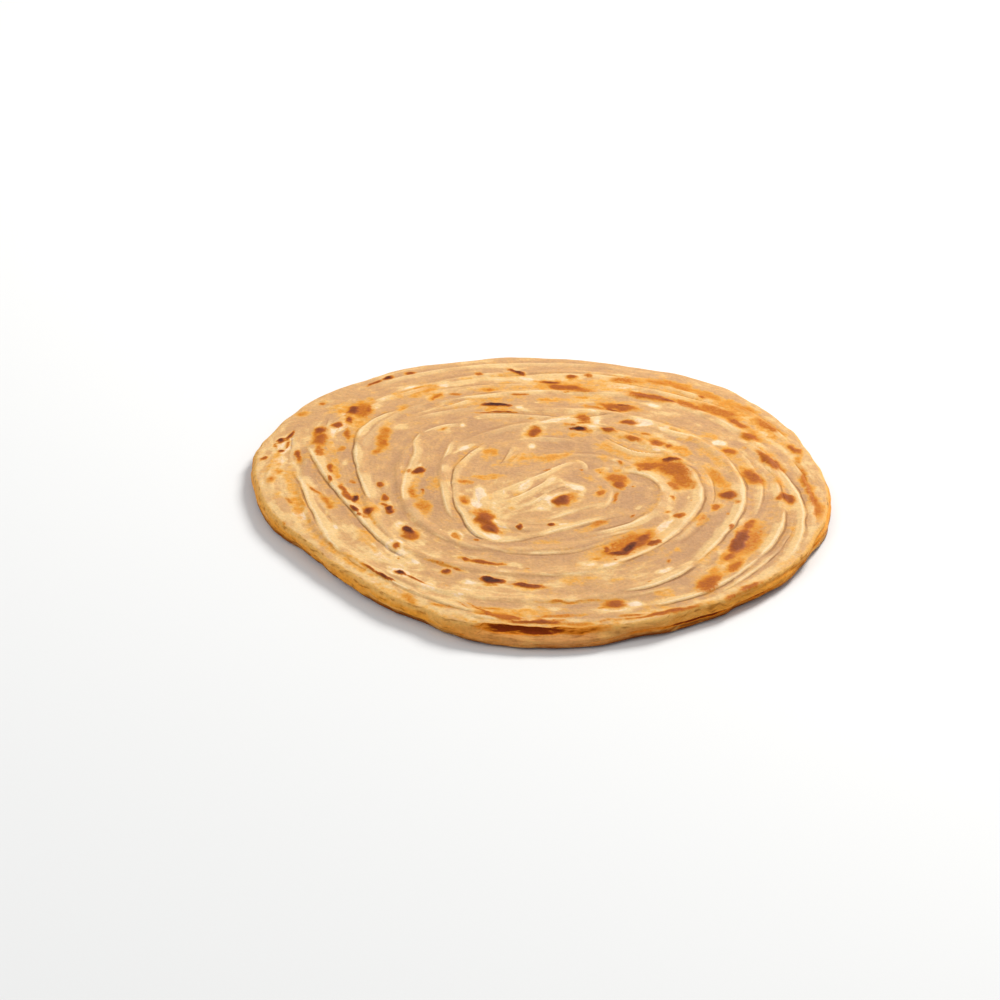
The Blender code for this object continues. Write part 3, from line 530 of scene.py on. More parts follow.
class Relief:
    # height above the plain top, and the masks that colour it, gathered lip by lip

    def __init__(self, x, y):
        self.inset = insideShoulder(x, y)
        self.x, self.y = x + traced[0], y + traced[1]
        self.lip, self.crease, self.swell, self.edge, self.hair, self.warm = np.zeros((6,) + x.shape)
        self.across = np.full(x.shape, leaf["widest"])
        self.near = np.full(x.shape, leaf["reach"])
        self.first = np.full(x.shape, leaf["reach"])    # to the nearest lip, and to the next one
        self.second = np.full(x.shape, leaf["reach"])

    def compare(self, spot, away, place, strength, hair):
        # the nearest lip gives each point its place across a lip: 0 on its ridge, 1 at its steep foot
        gap = np.abs(away) + leaf["giveWay"] * (1 - np.clip(strength, 0, 1))
        first, second = self.first[spot], self.second[spot]
        closer = gap < first
        self.second[spot] = np.where(closer, first, np.minimum(second, gap))
        self.first[spot] = np.where(closer, gap, first)
        here = 1 - smoothStep(0.7 * leaf["clip"], leaf["clip"], np.abs(away))
        place = np.clip(place, -leaf["widest"], leaf["widest"])
        self.across[spot] = np.where(closer, place, self.across[spot])
        self.edge[spot] = np.where(closer, strength * here, self.edge[spot])
        self.hair[spot] = np.where(closer, hair * here, self.hair[spot])
        self.near[spot] = np.minimum(self.near[spot], np.abs(away))

    def settle(self):
        # no line where one lip's side meets the next one's, and no lip on the rim
        clear = smoothStep(0.0, leaf["meeting"], self.second - self.first)
        sinks = smoothStep(-0.5, leaf["shoulderFade"], self.inset)
        self.lip, self.swell, self.crease = self.lip * sinks, self.swell * sinks, self.crease * sinks
        self.edge, self.hair = self.edge * clear * (0.4 + 0.6 * sinks), self.hair * clear * sinks

    def addArm(self, number, firstTurn, radii):
        bearing, radius = np.degrees(np.arctan2(self.y, self.x)), np.hypot(self.x, self.y)
        lastTurn = firstTurn + arms["step"] * (len(radii) - 1)
        turn = firstTurn + (-bearing - firstTurn) % 360.0
        while np.any(turn < lastTurn):
            line = readAlong(radii, (turn - firstTurn) / arms["step"])
            line = line + arms["wander"] * softNoise(self.x, self.y, 9.0, 70 + number)
            line = np.minimum(line, readAround(bread["edgeRadii"], bearing) - arms["edgeClear"])
            away = radius - line
            ends = np.clip(np.minimum(turn - firstTurn, lastTurn - turn) / arms["fade"], 0, 1)
            lift = np.sin(0.5 * np.pi * ends) * smoothStep(*arms["middleFade"], radius)
            place = np.where(away < 0, away / arms["rise"], away / arms["drop"])
            shape = 0.5 + 0.5 * np.cos(np.pi * np.clip(place, -1, 1))
            self.lip = np.maximum(self.lip, arms["height"] * lift * shape)
            spot = np.nonzero(turn < lastTurn)
            patchy = np.clip(0.6 + softNoise(self.x, self.y, 11.0, 74 + number), 0, 1)[spot]
            self.compare(spot, away[spot], place[spot], arms["pale"] * lift[spot] * patchy,
                         arms["hair"] * lift[spot] * patchy)
            turn = turn + 360.0

    def addLip(self, number, height, inner, outer, hair, points):
        line = smoothLine(points)
        low, high = line.min(0) - leaf["reach"], line.max(0) + leaf["reach"]
        spot = np.nonzero((self.x > low[0]) & (self.x < high[0]) & (self.y > low[1]) & (self.y < high[1]))
        x, y = self.x[spot], self.y[spot]
        gap, along, side, length = measureFrom(line, x, y)
        away = gap * side + leaf["wander"] * layeredNoise(x, y, 5.0, 200 + number, 2)
        away = away if np.min(hair) >= 0 else -away
        if np.ndim(hair):
            hair = np.interp(along / length, np.linspace(0, 1, len(hair)), hair)
        hair = np.abs(hair)
        fade = min(leaf["fade"], 0.45 * length)
        ends = np.sin(0.5 * np.pi * np.clip(np.minimum(along, length - along) / fade, 0, 1))
        ends = np.where((along <= 0) | (along >= length), 0.0, ends)
        uneven = 1 + leaf["uneven"] * noiseAlong(along, 9.0 * number, 15.0, 230, 3)
        lift = ends * np.clip(uneven, 0.2, 1.5)

        # A roll of dough, steep on the hairline's side and sinking slowly to the other
        rise = leaf["roll"][0] * inner * (1 + 0.25 * noiseAlong(along, 5.0 * number, 7.0, 260))
        drop = leaf["roll"][1] * outer * (1 + 0.25 * noiseAlong(along, 5.0 * number, 5.0, 261))
        place = np.where(away < 0, away / rise, away / drop)
        roll = 0.5 + 0.5 * np.cos(np.pi * np.clip(place, -1, 1))
        slope = np.where(away < 0, np.exp(away / (leaf["slope"] * rise)), roll)
        shape = leaf["rollShare"] * roll + (1 - leaf["rollShare"]) * slope
        self.lip[spot] = np.maximum(self.lip[spot], leaf["tall"] * height * lift * shape)
        self.swell[spot] = np.maximum(self.swell[spot], leaf["swell"] * lift * slope)

        # A crease at its steep foot, with golden edging that also paints crease shade, and a dark line of
        # painted crease shade
        strength = np.clip(1.35 * height, 0, 1) * lift
        comes = np.clip(0.75 + 0.6 * noiseAlong(along, 7.0 * number, 6.0, 262), 0.1, 1.2)
        groove = np.exp(-((away - drop) / leaf["creaseWidth"]) ** 2) * hair * ends * comes
        self.crease[spot] = np.maximum(self.crease[spot], groove)
        warm = np.exp(-((away - drop) / leaf["warmWidth"]) ** 2) * strength * np.minimum(hair, 1.5)
        warm = warm * np.clip(0.5 + 0.8 * noiseAlong(along, 3.0 * number, 12.0, 263), 0, 1)
        self.warm[spot] = np.maximum(self.warm[spot], leaf["warmth"] * warm)
        # the hairline's darkness is painted crease shade
        dark = hair * ends * comes * min(1.0, 1.15 * height + 0.25)
        patchy = np.clip(0.80 + 0.5 * noiseAlong(along, 4.0 * number, 9.0, 264, 2), 0.3, 1.1)
        self.compare(spot, away, place, strength * patchy, dark)


def readRelief(x, y):
    relief = Relief(x, y)
    for number, (firstTurn, radii) in enumerate(arms["list"]):
        relief.addArm(number, firstTurn, radii)
    for number, lip in enumerate(lips):
        relief.addLip(number, *lip)
    relief.settle()
    print("lips laid:", len(lips))
    return relief


def ellipse(x, y, sx, sy, long, wide, tilt=None):
    # how far out of an ellipse each point lies: 0 in its middle, 1 on its outline
    along = math.atan2(sy, sx) + math.pi / 2 if tilt is None else math.radians(tilt)
    dx, dy = x - sx, y - sy
    u = (dx * math.cos(along) + dy * math.sin(along)) / (0.5 * long)
    v = (dy * math.cos(along) - dx * math.sin(along)) / (0.5 * wide)
    return np.hypot(u, v)


def ringAt(out, strength, place, width):
    return strength * np.exp(-((out - place) / width) ** 2)


def scatterSpots(count, sizes, levels, longest, seed):
    luck = np.random.default_rng(seed)
    made = []
    for _ in range(count):
        far, angle = toast["scatter"] * math.sqrt(luck.uniform(0.01, 0.95)), luck.uniform(0, 2 * math.pi)
        size = sizes[0] + (sizes[1] - sizes[0]) * luck.uniform(0, 1) ** 2
        made.append((far * math.cos(angle), far * math.sin(angle), size * luck.uniform(1, longest), size,
                     luck.uniform(*levels)))
    return made


def readHeat(x, y, places):
    # how browned each point is, and how golden the crust around it
    heat, plain = np.zeros(x.shape), np.ones(x.shape)
    x, y = x + traced[0], y + traced[1]
    ragged = toast["ragged"] * layeredNoise(x, y, toast["raggedCell"], 31, 3)
    warp = toast["warp"]
    x, y = x + warp * layeredNoise(x, y, 4.0, 33, 2), y + warp * layeredNoise(x, y, 4.0, 35, 2)
    for sx, sy, long, wide, hot, *tilt in places:
        out = ellipse(x, y, sx, sy, long, wide, *tilt) + ragged * min(1.0, 3.0 / wide)
        browned = hot > toast["goldBelow"]
        if browned:
            core, edge = toast["spotEdge"]
            core = core + toast["charCore"] * min(1.0, max(0.0, (hot - 0.7) / 0.3))
            heat = np.maximum(heat, hot * (1 - smoothStep(core, edge, out)))
        halo = toast["haloStrength"] * min(1.0, 0.5 + hot) * min(1.0, 0.35 + wide / 5.0)
        flat = toast["haloFlat"] if browned else toast["goldFlat"]
        plain = plain * (1 - halo * (1 - smoothStep(flat, toast["haloReach"], out)))
    return heat, 1 - plain


def readTone(x, y):
    # how pale or grey each point is: rings round blisters and hot spots are paler, and so is the edge, partly
    # as a painted highlight on the shoulder; the palest stretches and flecks are painted highlights and
    # glints
    tone = np.zeros(x.shape)
    ragged = 0.3 * layeredNoise(x, y, 4.0, 41, 3)
    bearing = np.degrees(np.arctan2(y, x))
    inset = insideShoulder(x, y) + 3 * ragged
    x, y = x + traced[0], y + traced[1]
    stretches = tones + scatterSpots(*toast["paleFlecksAndGlints"]) + scatterSpots(*toast["greyFlecks"])
    for sx, sy, long, wide, level, *tilt in stretches:
        out = ellipse(x, y, sx, sy, long, wide, *tilt) + ragged
        tone = tone + level * (1 - smoothStep(*toast["toneEdge"], out))
    for place in blisters:
        tone = tone + ringAt(ellipse(x, y, *place) + 0.4 * ragged, *toast["blisterRing"])
    for sx, sy, long, wide, hot, *tilt in spots:
        if hot > toast["palerAbove"]:
            tone = tone + ringAt(ellipse(x, y, sx, sy, long, wide, *tilt) + ragged, *toast["palerRing"])
    # the paler band along the edge is partly a painted shoulder highlight
    tone = tone + readAround(rim["pale"], bearing) * smoothStep(rim["paleWidth"], 0.0, inset)
    return np.clip(tone, -1.3, 2.0 - 1.1 * smoothStep(7.0, 1.0, inset))


# The rim's side, at every fifteenth degree where a value has several
rim = {
    "gaps": [
        # between the leaves: level up the rim, height, depth, and how strongly it shows, cut in and darkened
        # with browning and painted shade
        (0.74, 0.55, 1.5, [0.5, 0.5, 0.5, 0.5, 0.5, 0.5, 0.6, 0.5, 0.5, 0.5, 0.4, 0.2,
                           0.1, 0.0, 0.0, 0.0, 0.1, 0.3, 0.3, 0.3, 0.4, 0.4, 0.4, 0.5]),
        (0.47, 0.45, 1.1, [0.7, 0.6, 0.5, 0.6, 0.6, 0.5, 0.5, 0.6, 0.6, 0.5, 0.5, 0.4,
                           0.4, 0.3, 0.2, 0.2, 0.3, 0.5, 0.3, 0.5, 0.8, 0.8, 0.7, 0.7]),
        (0.24, 0.40, 0.9, [0.5, 0.6, 0.6, 0.4, 0.4, 0.6, 0.6, 0.4, 0.4, 0.5, 0.5, 0.3,
                           0.3, 0.3, 0.3, 0.4, 0.4, 0.5, 0.6, 0.5, 0.5, 0.5, 0.5, 0.5]),
    ],
    # how pale the edge is round the bread, partly a painted shoulder highlight
    "pale": [0.7, 0.6, 0.5, 0.4, 0.4, 0.4, 0.4, 0.4, 0.4, 0.4, 0.6, 0.8,
             1.0, 1.1, 1.1, 1.2, 1.1, 0.8, 0.5, 0.7, 0.9, 1.0, 1.0, 0.9],
    "paleWidth": 4.0,
    "golden": [0.7, 0.5, 0.4, 0.4, 0.4, 0.4, 0.4, 0.4, 0.5, 0.5, 0.6, 0.7,
               0.9, 1.0, 1.0, 1.0, 0.9, 0.5, 0.3, 0.5, 0.7, 0.8, 0.8, 0.8],
    "wander": 0.09,        # how far a gap strays up and down
    "overhang": 0.75,      # how far the leaves stand out over one another
    "roundness": 0.55,     # lower for a fuller side
}


def rimGaps(bearing):
    # middle, height, depth, strength and overhang of each gap between the leaves
    gaps = []
    for n, (place, tall, deep, strengths) in enumerate(rim["gaps"]):
        middle = place + rim["wander"] * noiseAround(bearing, 80, 22.0, 300 + n, 2)
        strength = readAround(strengths, bearing) * (0.9 + 0.5 * noiseAround(bearing, 80, 12.0, 310 + n, 1))
        ledge = rim["overhang"] * noiseAround(bearing, 80, 18.0, 320 + n, 2)
        gaps.append((middle, tall, deep, np.clip(strength, 0, 2), ledge))
    return gaps


def rimRows(bearing, topHeight):
    # inset, height, gap mask and share of the way down of each ring from the shoulder to the foot
    gaps, rows = rimGaps(bearing), []
    back, drawn = hollowShare(bearing), shoulderInset(bearing) - bread["shoulder"]
    warmer = smoothStep(*hollow["warmer"], bearing % 360.0)
    deepest, underPlace, underTall = hollow["undercut"]
    brownStart, brownFull, brownThin, brownEnd = hollow["browned"]
    for row in range(1, bread["rimRows"]):
        f = row / bread["rimRows"]
        swell = math.sin(math.pi * f)
        level = 0.5 + 0.5 * math.cos(math.pi * f)
        inset = (bread["shoulder"] * (1 - f) + bread["foot"] * f) * (1 - swell ** rim["roundness"])
        gapMask = 0 * bearing
        for middle, tall, deep, strength, ledge in gaps:
            away = (level - middle) * bread["thickness"]
            gap = strength * np.exp(-(away / tall) ** 2)
            inset = inset + swell * (deep * gap + ledge * smoothStep(0.3, -0.3, away))
            gapMask = np.maximum(gapMask, gap)
        gapMask = np.clip(gapMask, 0, 1.3) * swell * (1 - 0.8 * back * (f < 0.5))

        # The hollow: the lower leaf comes out under the top one, browned and darkened with painted shade
        # where they part
        under = math.exp(-((f - underPlace) / underTall) ** 2)
        inset = inset + drawn * (1 - smoothStep(*hollow["ledge"], f))
        inset = inset + back * deepest * (1 - 0.9 * warmer) * under
        browned = 1.1 * back ** (1 - 0.6 * warmer) * (1 - 0.36 * warmer)
        browned = browned * smoothStep(brownStart, brownFull, f) * smoothStep(brownEnd, brownThin, f)
        leafTone = np.interp(f, *hollow["leafTones"])
        rows.append((np.maximum(inset, 0.0), topHeight * level, np.maximum(gapMask, browned),
                     f + back * (leafTone - f)))
    return rows


def ringPlan(gap):
    # shares of the radius and numbers of columns, from the middle outwards
    reach = bread["reach"]
    count = int(round(reach / gap))
    plan = []
    for n in range(1, count + 1):
        share = n / count
        columns = bread["columns"]
        for radius in bread["halving"]:
            if share * reach < radius:
                columns //= 2
        plan.append((share, columns))
    return plan


def spreadRings(plan, inset=None):
    # flat x and y of every point of the rings, which end at the shoulder or this far in from the edge
    shares = np.concatenate([np.full(columns, share) for share, columns in plan])
    bearing = np.concatenate([np.arange(columns) * 360.0 / columns for _, columns in plan])
    radius = shares * (edgeRadius(bearing) - (shoulderInset(bearing) if inset is None else inset))
    return radius * np.cos(np.radians(bearing)), radius * np.sin(np.radians(bearing))


def joinRings(faces, first, firstCount, second, secondCount):
    # faces between two rings, where one may have half the other's columns
    if firstCount == secondCount:
        for k in range(firstCount):
            n = (k + 1) % firstCount
            faces.append((first + k, second + k, second + n, first + n))
    elif firstCount < secondCount:
        for k in range(firstCount):
            n, double = (k + 1) % firstCount, 2 * k
            faces.append((first + k, second + double, second + double + 1))
            faces.append((first + k, second + double + 1, first + n))
            faces.append((first + n, second + double + 1, second + (double + 2) % secondCount))
    else:
        for k in range(secondCount):
            n, double = (k + 1) % secondCount, 2 * k
            faces.append((first + double, second + k, first + double + 1))
            faces.append((second + k, second + n, first + double + 1))
            faces.append((first + double + 1, second + n, first + (double + 2) % firstCount))


# Masks that each point of the mesh carries for the crust's material
maskNames = ("across", "edge", "hair", "toasted", "glow", "tone", "gap", "side", "near")


def gather(x, y, z, masks):
    # a row for each point: its place and its masks, 0 where none is given
    return np.stack([x, y, z] + [masks.get(name, 0 * x) for name in maskNames], 1)


def makeTop(topSpots):
    # the middle point, then the rings outwards
    plan = ringPlan(bread["topGap"])
    x, y = spreadRings(plan)
    x, y = np.append(0.0, x), np.append(0.0, y)
    relief = readRelief(x, y)
    heat, glow = readHeat(x, y, topSpots)
    print("top browned:", len(topSpots), "spots")
    share = np.hypot(x, y) / edgeRadius(np.degrees(np.arctan2(y, x)))
    z = bread["thickness"] + bread["dome"] * (1 - share ** 2)
    z = z + bread["wave"] * layeredNoise(x, y, bread["waveCell"], 11, 2)
    z = z + np.maximum(relief.lip, relief.swell) + toast["puff"] * smoothStep(0.3, 0.7, heat)
    z = z - leaf["creaseDepth"] * relief.crease * np.clip(1.1 - relief.lip, 0.2, 1)
    z = z + bread["bumps"] * layeredNoise(x, y, 3.0, 15, 3)
    masks = {"across": relief.across, "edge": relief.edge, "hair": relief.hair, "toasted": heat,
             "glow": np.maximum(glow, relief.warm), "tone": readTone(x, y), "near": relief.near}
    return gather(x, y, z, masks), [columns for _, columns in plan]


def makeRim(shoulder, topSpots):
    # the rings from under the shoulder down to the foot
    columns = bread["columns"]
    bearing = np.arange(columns) * 360.0 / columns
    edge, cosine, sine = edgeRadius(bearing), np.cos(np.radians(bearing)), np.sin(np.radians(bearing))
    held = dict(zip(maskNames, shoulder[:, 3:].T))
    last, near = shoulder[:, :3], held["near"]
    rings = []
    for inset, height, gap, low in rimRows(bearing, shoulder[:, 2]):
        x, y = (edge - inset) * cosine, (edge - inset) * sine
        here = np.stack([x, y, height], 1)
        near, last = near + np.linalg.norm(here - last, axis=1), here
        heat, glow = readHeat(x, y, topSpots)
        glow = np.maximum(glow * (1 - low), readAround(rim["golden"], bearing) * smoothStep(0.0, 0.2, low))
        fade = np.clip(1 - 2 * low, 0, 1)
        rings.append(gather(x, y, height, {
            "across": held["across"], "edge": held["edge"] * fade ** 2, "hair": held["hair"] * fade ** 2,
            "toasted": heat * fade, "glow": glow, "tone": held["tone"] * fade, "gap": gap, "side": low,
            "near": near}))
    print("rim done")
    return np.concatenate(rings), [columns] * len(rings)


def makeUnderside():
    # the rings inwards, then the middle point
    plan = ringPlan(bread["underGap"])[::-1]
    x, y = spreadRings(plan, bread["foot"])
    x, y = np.append(x, 0.0), np.append(y, 0.0)
    relief = readRelief(x, y)
    underSpots = scatterSpots(*toast["underside"])
    heat, glow = readHeat(x, y, underSpots)
    groove = np.clip(relief.crease + relief.lip, 0, 1)
    height = bread["underGrooves"] * groove * smoothStep(12, 26, np.hypot(x, y))
    print("underside done:", len(underSpots), "spots")
    # the underside keeps fainter lips and their dark lines of painted crease shade
    masks = {"across": relief.across, "edge": 0.7 * relief.edge, "hair": 0.8 * relief.hair,
             "toasted": heat, "glow": glow, "side": 0 * x + 2, "near": relief.near}
    return gather(x, y, height, masks), [columns for _, columns in plan]


def addObject(name, data):
    made = bpy.data.objects.new(name, data)
    bpy.context.scene.collection.objects.link(made)
    return made


def makeBread():
    topSpots = spots + scatterSpots(*toast["flecks"]) + scatterSpots(*toast["gold"])
    top, topCounts = makeTop(topSpots)
    side, sideCounts = makeRim(top[-bread["columns"]:], topSpots)
    under, underCounts = makeUnderside()
    points = np.concatenate([top, side, under])
    counts = topCounts + sideCounts + underCounts

    # Moved so that its box has the same middle as the CAD's
    low, high = points[:, :2].min(0), points[:, :2].max(0)
    wanted = np.array([(cadLow.x + cadHigh.x) / 2, (cadLow.y + cadHigh.y) / 2]) / mm
    shift = wanted - (low + high) / 2
    points[:, :2] += shift

    faces = [(0, 1 + k, 1 + (k + 1) % counts[0]) for k in range(counts[0])]
    start = 1
    for count, following in zip(counts[:-1], counts[1:]):
        joinRings(faces, start, count, start + count, following)
        start += count
    bottom = len(points) - 1
    faces += [(start + k, bottom, start + (k + 1) % counts[-1]) for k in range(counts[-1])]

    mesh = bpy.data.meshes.new("parottaBread")
    mesh.from_pydata((points[:, :3] * mm).tolist(), [], faces)
    for n, name in enumerate(maskNames):
        layer = mesh.attributes.new(name, "FLOAT", "POINT")
        layer.data.foreach_set("value", points[:, 3 + n].astype(np.float32))
    mesh.shade_smooth()
    mesh.validate()
    print("bread mesh:", len(mesh.vertices), "points,", sum(len(face) - 2 for face in faces), "triangles")
    return addObject("parottaBread", mesh), shift


# Shader helpers. Nodes stand in columns of six, in the order in which they are made
def addNode(tree, kind, inputs=None, **settings):
    made = tree.nodes.new(kind)
    made.location = (190 * (len(tree.nodes) // 6), -240 * (len(tree.nodes) % 6))
    for name, value in settings.items():
        setattr(made, name, value)
    for name, value in (inputs or {}).items():
        if isinstance(value, bpy.types.NodeSocket):
            tree.links.new(value, made.inputs[name])
        else:
            made.inputs[name].default_value = value
    return made


def doMath(tree, operation, a, b=0.0, c=0.0):
    return addNode(tree, "ShaderNodeMath", {0: a, 1: b, 2: c}, operation=operation).outputs[0]


def sway(tree, base, noise, share):
    # a value moved up and down by noise, whose middle is 0.5
    return doMath(tree, "MULTIPLY_ADD", doMath(tree, "SUBTRACT", noise, 0.5), share, base)


def remap(tree, value, low, high, toLow=0.0, toHigh=1.0):
    made = addNode(tree, "ShaderNodeMapRange", {"Value": value, "From Min": low, "From Max": high,
                   "To Min": toLow, "To Max": toHigh}, interpolation_type="SMOOTHSTEP")
    return made.outputs["Result"]


def band(tree, mask, line, rises, sinks):
    # the mask, kept where line lies between two soft ends
    mask = doMath(tree, "MULTIPLY", mask, remap(tree, line, *rises))
    return doMath(tree, "MULTIPLY", mask, remap(tree, line, *sinks, 1.0, 0.0))


def streak(tree, mask, line, place, width):
    # the mask, kept where line comes close to a place
    away = doMath(tree, "ABSOLUTE", doMath(tree, "SUBTRACT", line, place))
    return doMath(tree, "MULTIPLY", mask, remap(tree, away, *width, 1.0, 0.0))


def mixColour(tree, factor, a, b, blend="MIX"):
    made = addNode(tree, "ShaderNodeMix", {0: factor, 6: a, 7: b}, data_type="RGBA", blend_type=blend)
    return made.outputs[2]


def layOver(tree, colour, over, mask, low, high, most=1.0):
    # one colour over another, as the mask rises from low to high
    return mixColour(tree, remap(tree, mask, low, high, 0.0, most), colour, over)


def readMask(tree, name):
    return addNode(tree, "ShaderNodeAttribute", attribute_name=name, attribute_type="GEOMETRY").outputs["Fac"]


def newGroup(name, **inputs):
    tree = bpy.data.node_groups.new(name, "ShaderNodeTree")
    for label, value in inputs.items():
        tree.interface.new_socket(label, in_out="INPUT", socket_type="NodeSocketFloat").default_value = value
    tree.interface.new_socket("Value", in_out="OUTPUT", socket_type="NodeSocketFloat")
    return tree, tree.nodes.new("NodeGroupInput").outputs, tree.nodes.new("NodeGroupOutput")


def useGroup(tree, group, **inputs):
    return addNode(tree, "ShaderNodeGroup", inputs, node_tree=group).outputs[0]


def makeLeafStreaks():
    # streaks that run beside the lips: Length along them and Gap across, in millimetres
    tree, given, result = newGroup("leafStreaks", Near=0.0, Length=9.0, Gap=0.8, Detail=3.0)
    place = addNode(tree, "ShaderNodeTexCoord").outputs["Object"]
    scale = doMath(tree, "DIVIDE", 1000.0, given["Length"])
    drawn = addNode(tree, "ShaderNodeVectorMath", {0: place, "Scale": scale}, operation="SCALE").outputs[0]
    across = doMath(tree, "DIVIDE", given["Near"], given["Gap"])
    lifted = addNode(tree, "ShaderNodeCombineXYZ", {"Z": across}).outputs[0]
    vector = addNode(tree, "ShaderNodeVectorMath", {0: drawn, 1: lifted}, operation="ADD").outputs[0]
    noise = addNode(tree, "ShaderNodeTexNoise", {"Vector": vector, "Scale": 1.0, "Detail": given["Detail"],
                    "Roughness": 0.55})
    tree.links.new(noise.outputs["Fac"], result.inputs["Value"])
    return tree


def makeDoughGrain():
    # even mottling of baked dough, its bumps Size millimetres across
    tree, given, result = newGroup("doughGrain", Size=2.0, Detail=3.0, Shift=0.0)
    place = addNode(tree, "ShaderNodeTexCoord").outputs["Object"]
    moved = addNode(tree, "ShaderNodeVectorMath", {0: place, 1: given["Shift"]}, operation="ADD").outputs[0]
    scale = doMath(tree, "DIVIDE", 1000.0, given["Size"])
    noise = addNode(tree, "ShaderNodeTexNoise", {"Vector": moved, "Scale": scale, "Detail": given["Detail"],
                    "Roughness": 0.6})
    tree.links.new(noise.outputs["Fac"], result.inputs["Value"])
    return tree


crust = {
    "leafGrey": (0.520, 0.285, 0.135, 1),     # flat leaves, where the dough looks translucent
    "leafLight": (0.650, 0.365, 0.150, 1),
    "cream": (0.775, 0.510, 0.225, 1),        # paler stretches
    "crest": (0.840, 0.620, 0.350, 1),        # painted highlight along the ridges of the leaves' edges
    # painted highlights and sheen, where the tone is palest
    "highlightWhite": (0.840, 0.640, 0.440, 1),
    "gold": (0.775, 0.378, 0.064, 1),
    "deepGold": (0.660, 0.246, 0.021, 1),
    # hairlines of painted crease shade at the lips' steep feet
    "hair": (0.330, 0.150, 0.055, 1),
    # the rim's shoulder as a painted highlight, also laid in pale streaks
    "rimPaleAndShoulderHighlight": (0.800, 0.440, 0.120, 1),
    "rimTan": (0.605, 0.262, 0.080, 1),
    "rimGold": (0.840, 0.335, 0.034, 1),
    # browned foot of the rim darkened with painted contact shade, also laid in dark streaks
    "rimDarkAndFootShade": (0.210, 0.044, 0.002, 1),
    # browned gaps between the rim's leaves, darkened with painted shade
    "rimGapBrownAndShade": (0.210, 0.026, 0.001, 1),
    "rimGlow": (0.860, 0.250, 0.006, 1),      # around a gap
    "under": (0.610, 0.360, 0.150, 1),
    "toastRamp": [(0.0, (0.720, 0.352, 0.065, 1)), (0.22, (0.650, 0.257, 0.022, 1)),
                  (0.38, (0.525, 0.155, 0.011, 1)), (0.54, (0.350, 0.087, 0.014, 1)),
                  (0.70, (0.232, 0.054, 0.013, 1)), (0.86, (0.120, 0.029, 0.011, 1)),
                  (1.0, (0.046, 0.014, 0.010, 1))],

    # Noises, in millimetres: streaks beside the lips, and even grain
    "streaks": {"fine": {"Length": 4.0, "Gap": 0.8, "Detail": 4.0},
                "broad": {"Length": 11.0, "Gap": 2.4, "Detail": 4.0}},
    "grains": {"speck": {"Size": 0.9, "Detail": 3.0, "Shift": 0.3},
               "mottle": {"Size": 2.2, "Detail": 2.0, "Shift": 0.5},
               "blotch": {"Size": 5.0, "Detail": 5.0, "Shift": 0.7},
               "cloud": {"Size": 24.0, "Detail": 2.0, "Shift": 0.1}},

    # From grey to pale: how a tone moves the shade of the leaves, and each noise's share in it
    "shade": (0.46, 0.47),
    "shadeShares": {"broad": 1.0, "blotch": 1.0, "fine": 0.55},
    "goldShares": {"blotch": 0.9, "broad": 0.6},
    "deepShare": 1.2,
    "bumpShares": {"fine": 0.5, "speck": 0.5, "blotch": 0.9},
    "hairBump": -0.6,

    # Where a colour lies over the ones before it: from where to where on its mask, and how much at most
    "lightOver": (0.05, 0.85),
    "creamOver": (0.62, 0.98),
    "whiteOver": (1.0, 1.3),
    "deepGoldOver": (0.40, 1.00),
    "goldOver": (0.04, 0.85, 0.95),
    "rollOver": (0.05, 0.85, 0.85),
    "crestOver": (0.25, 1.0, 0.8),
    "hairMost": 0.75,
    "rimGoldOver": (0.2, 0.9),
    "rimTanOver": (0.10, 0.42),
    "rimFootOver": (0.46, 0.72),
    "darkStreaksOver": (0.50, 0.70, 0.6),
    "lightStreaksOver": (0.50, 0.66, 0.5),
    "underEdgeOver": (0.88, 1.0, 0.7),
    "rimOver": (0.02, 0.16, 0.0, 0.97),
    "rimEnds": (1.0, 1.5, 1.0, 0.0),
    "gapRagged": (1.6, 0.2),
    "gapDeep": (0.50, 0.95),
    "gapOver": (0.25, 0.75),
    "underGold": (0.05, 0.7),
    "underOver": (1.1, 1.9, 0.45),
    "toastRagged": (0.5, -0.25),
    "toastRaggedFrom": (0.02, 0.25),
    "toastOver": (0.03, 0.44),
    "grainShade": (0.25, 0.75, 0.88, 1.08),

    # Places across a roll: 0 on its ridge, 1 at its steep foot, -1 at its gentle foot
    "wobble": 0.45,
    "roll": ((-1.05, -0.35), (0.30, 0.95)),
    "crestPlace": 0.05,
    "crestWidth": (0.05, 0.40),
    "beside": ((0.95, 1.4), (2.2, 4.8)),      # painted shade, greyer from its steep foot outwards
    "footShadeDepth": -0.42,
    "hairPlace": 1.05,
    "hairWidth": (0.10, 0.55),

    "roughness": (0.5, 0.95, 0.48, 0.68),     # from and to where on the noise, then the roughness
    "roughSpeck": 0.4,
    "specular": 0.05,
    "softness": 0.08,
    "softRadius": (1.0, 0.55, 0.25),
    "softScale": 0.002,
    "bumpStrength": 0.8,
    "bumpDepth": 0.00025,
}


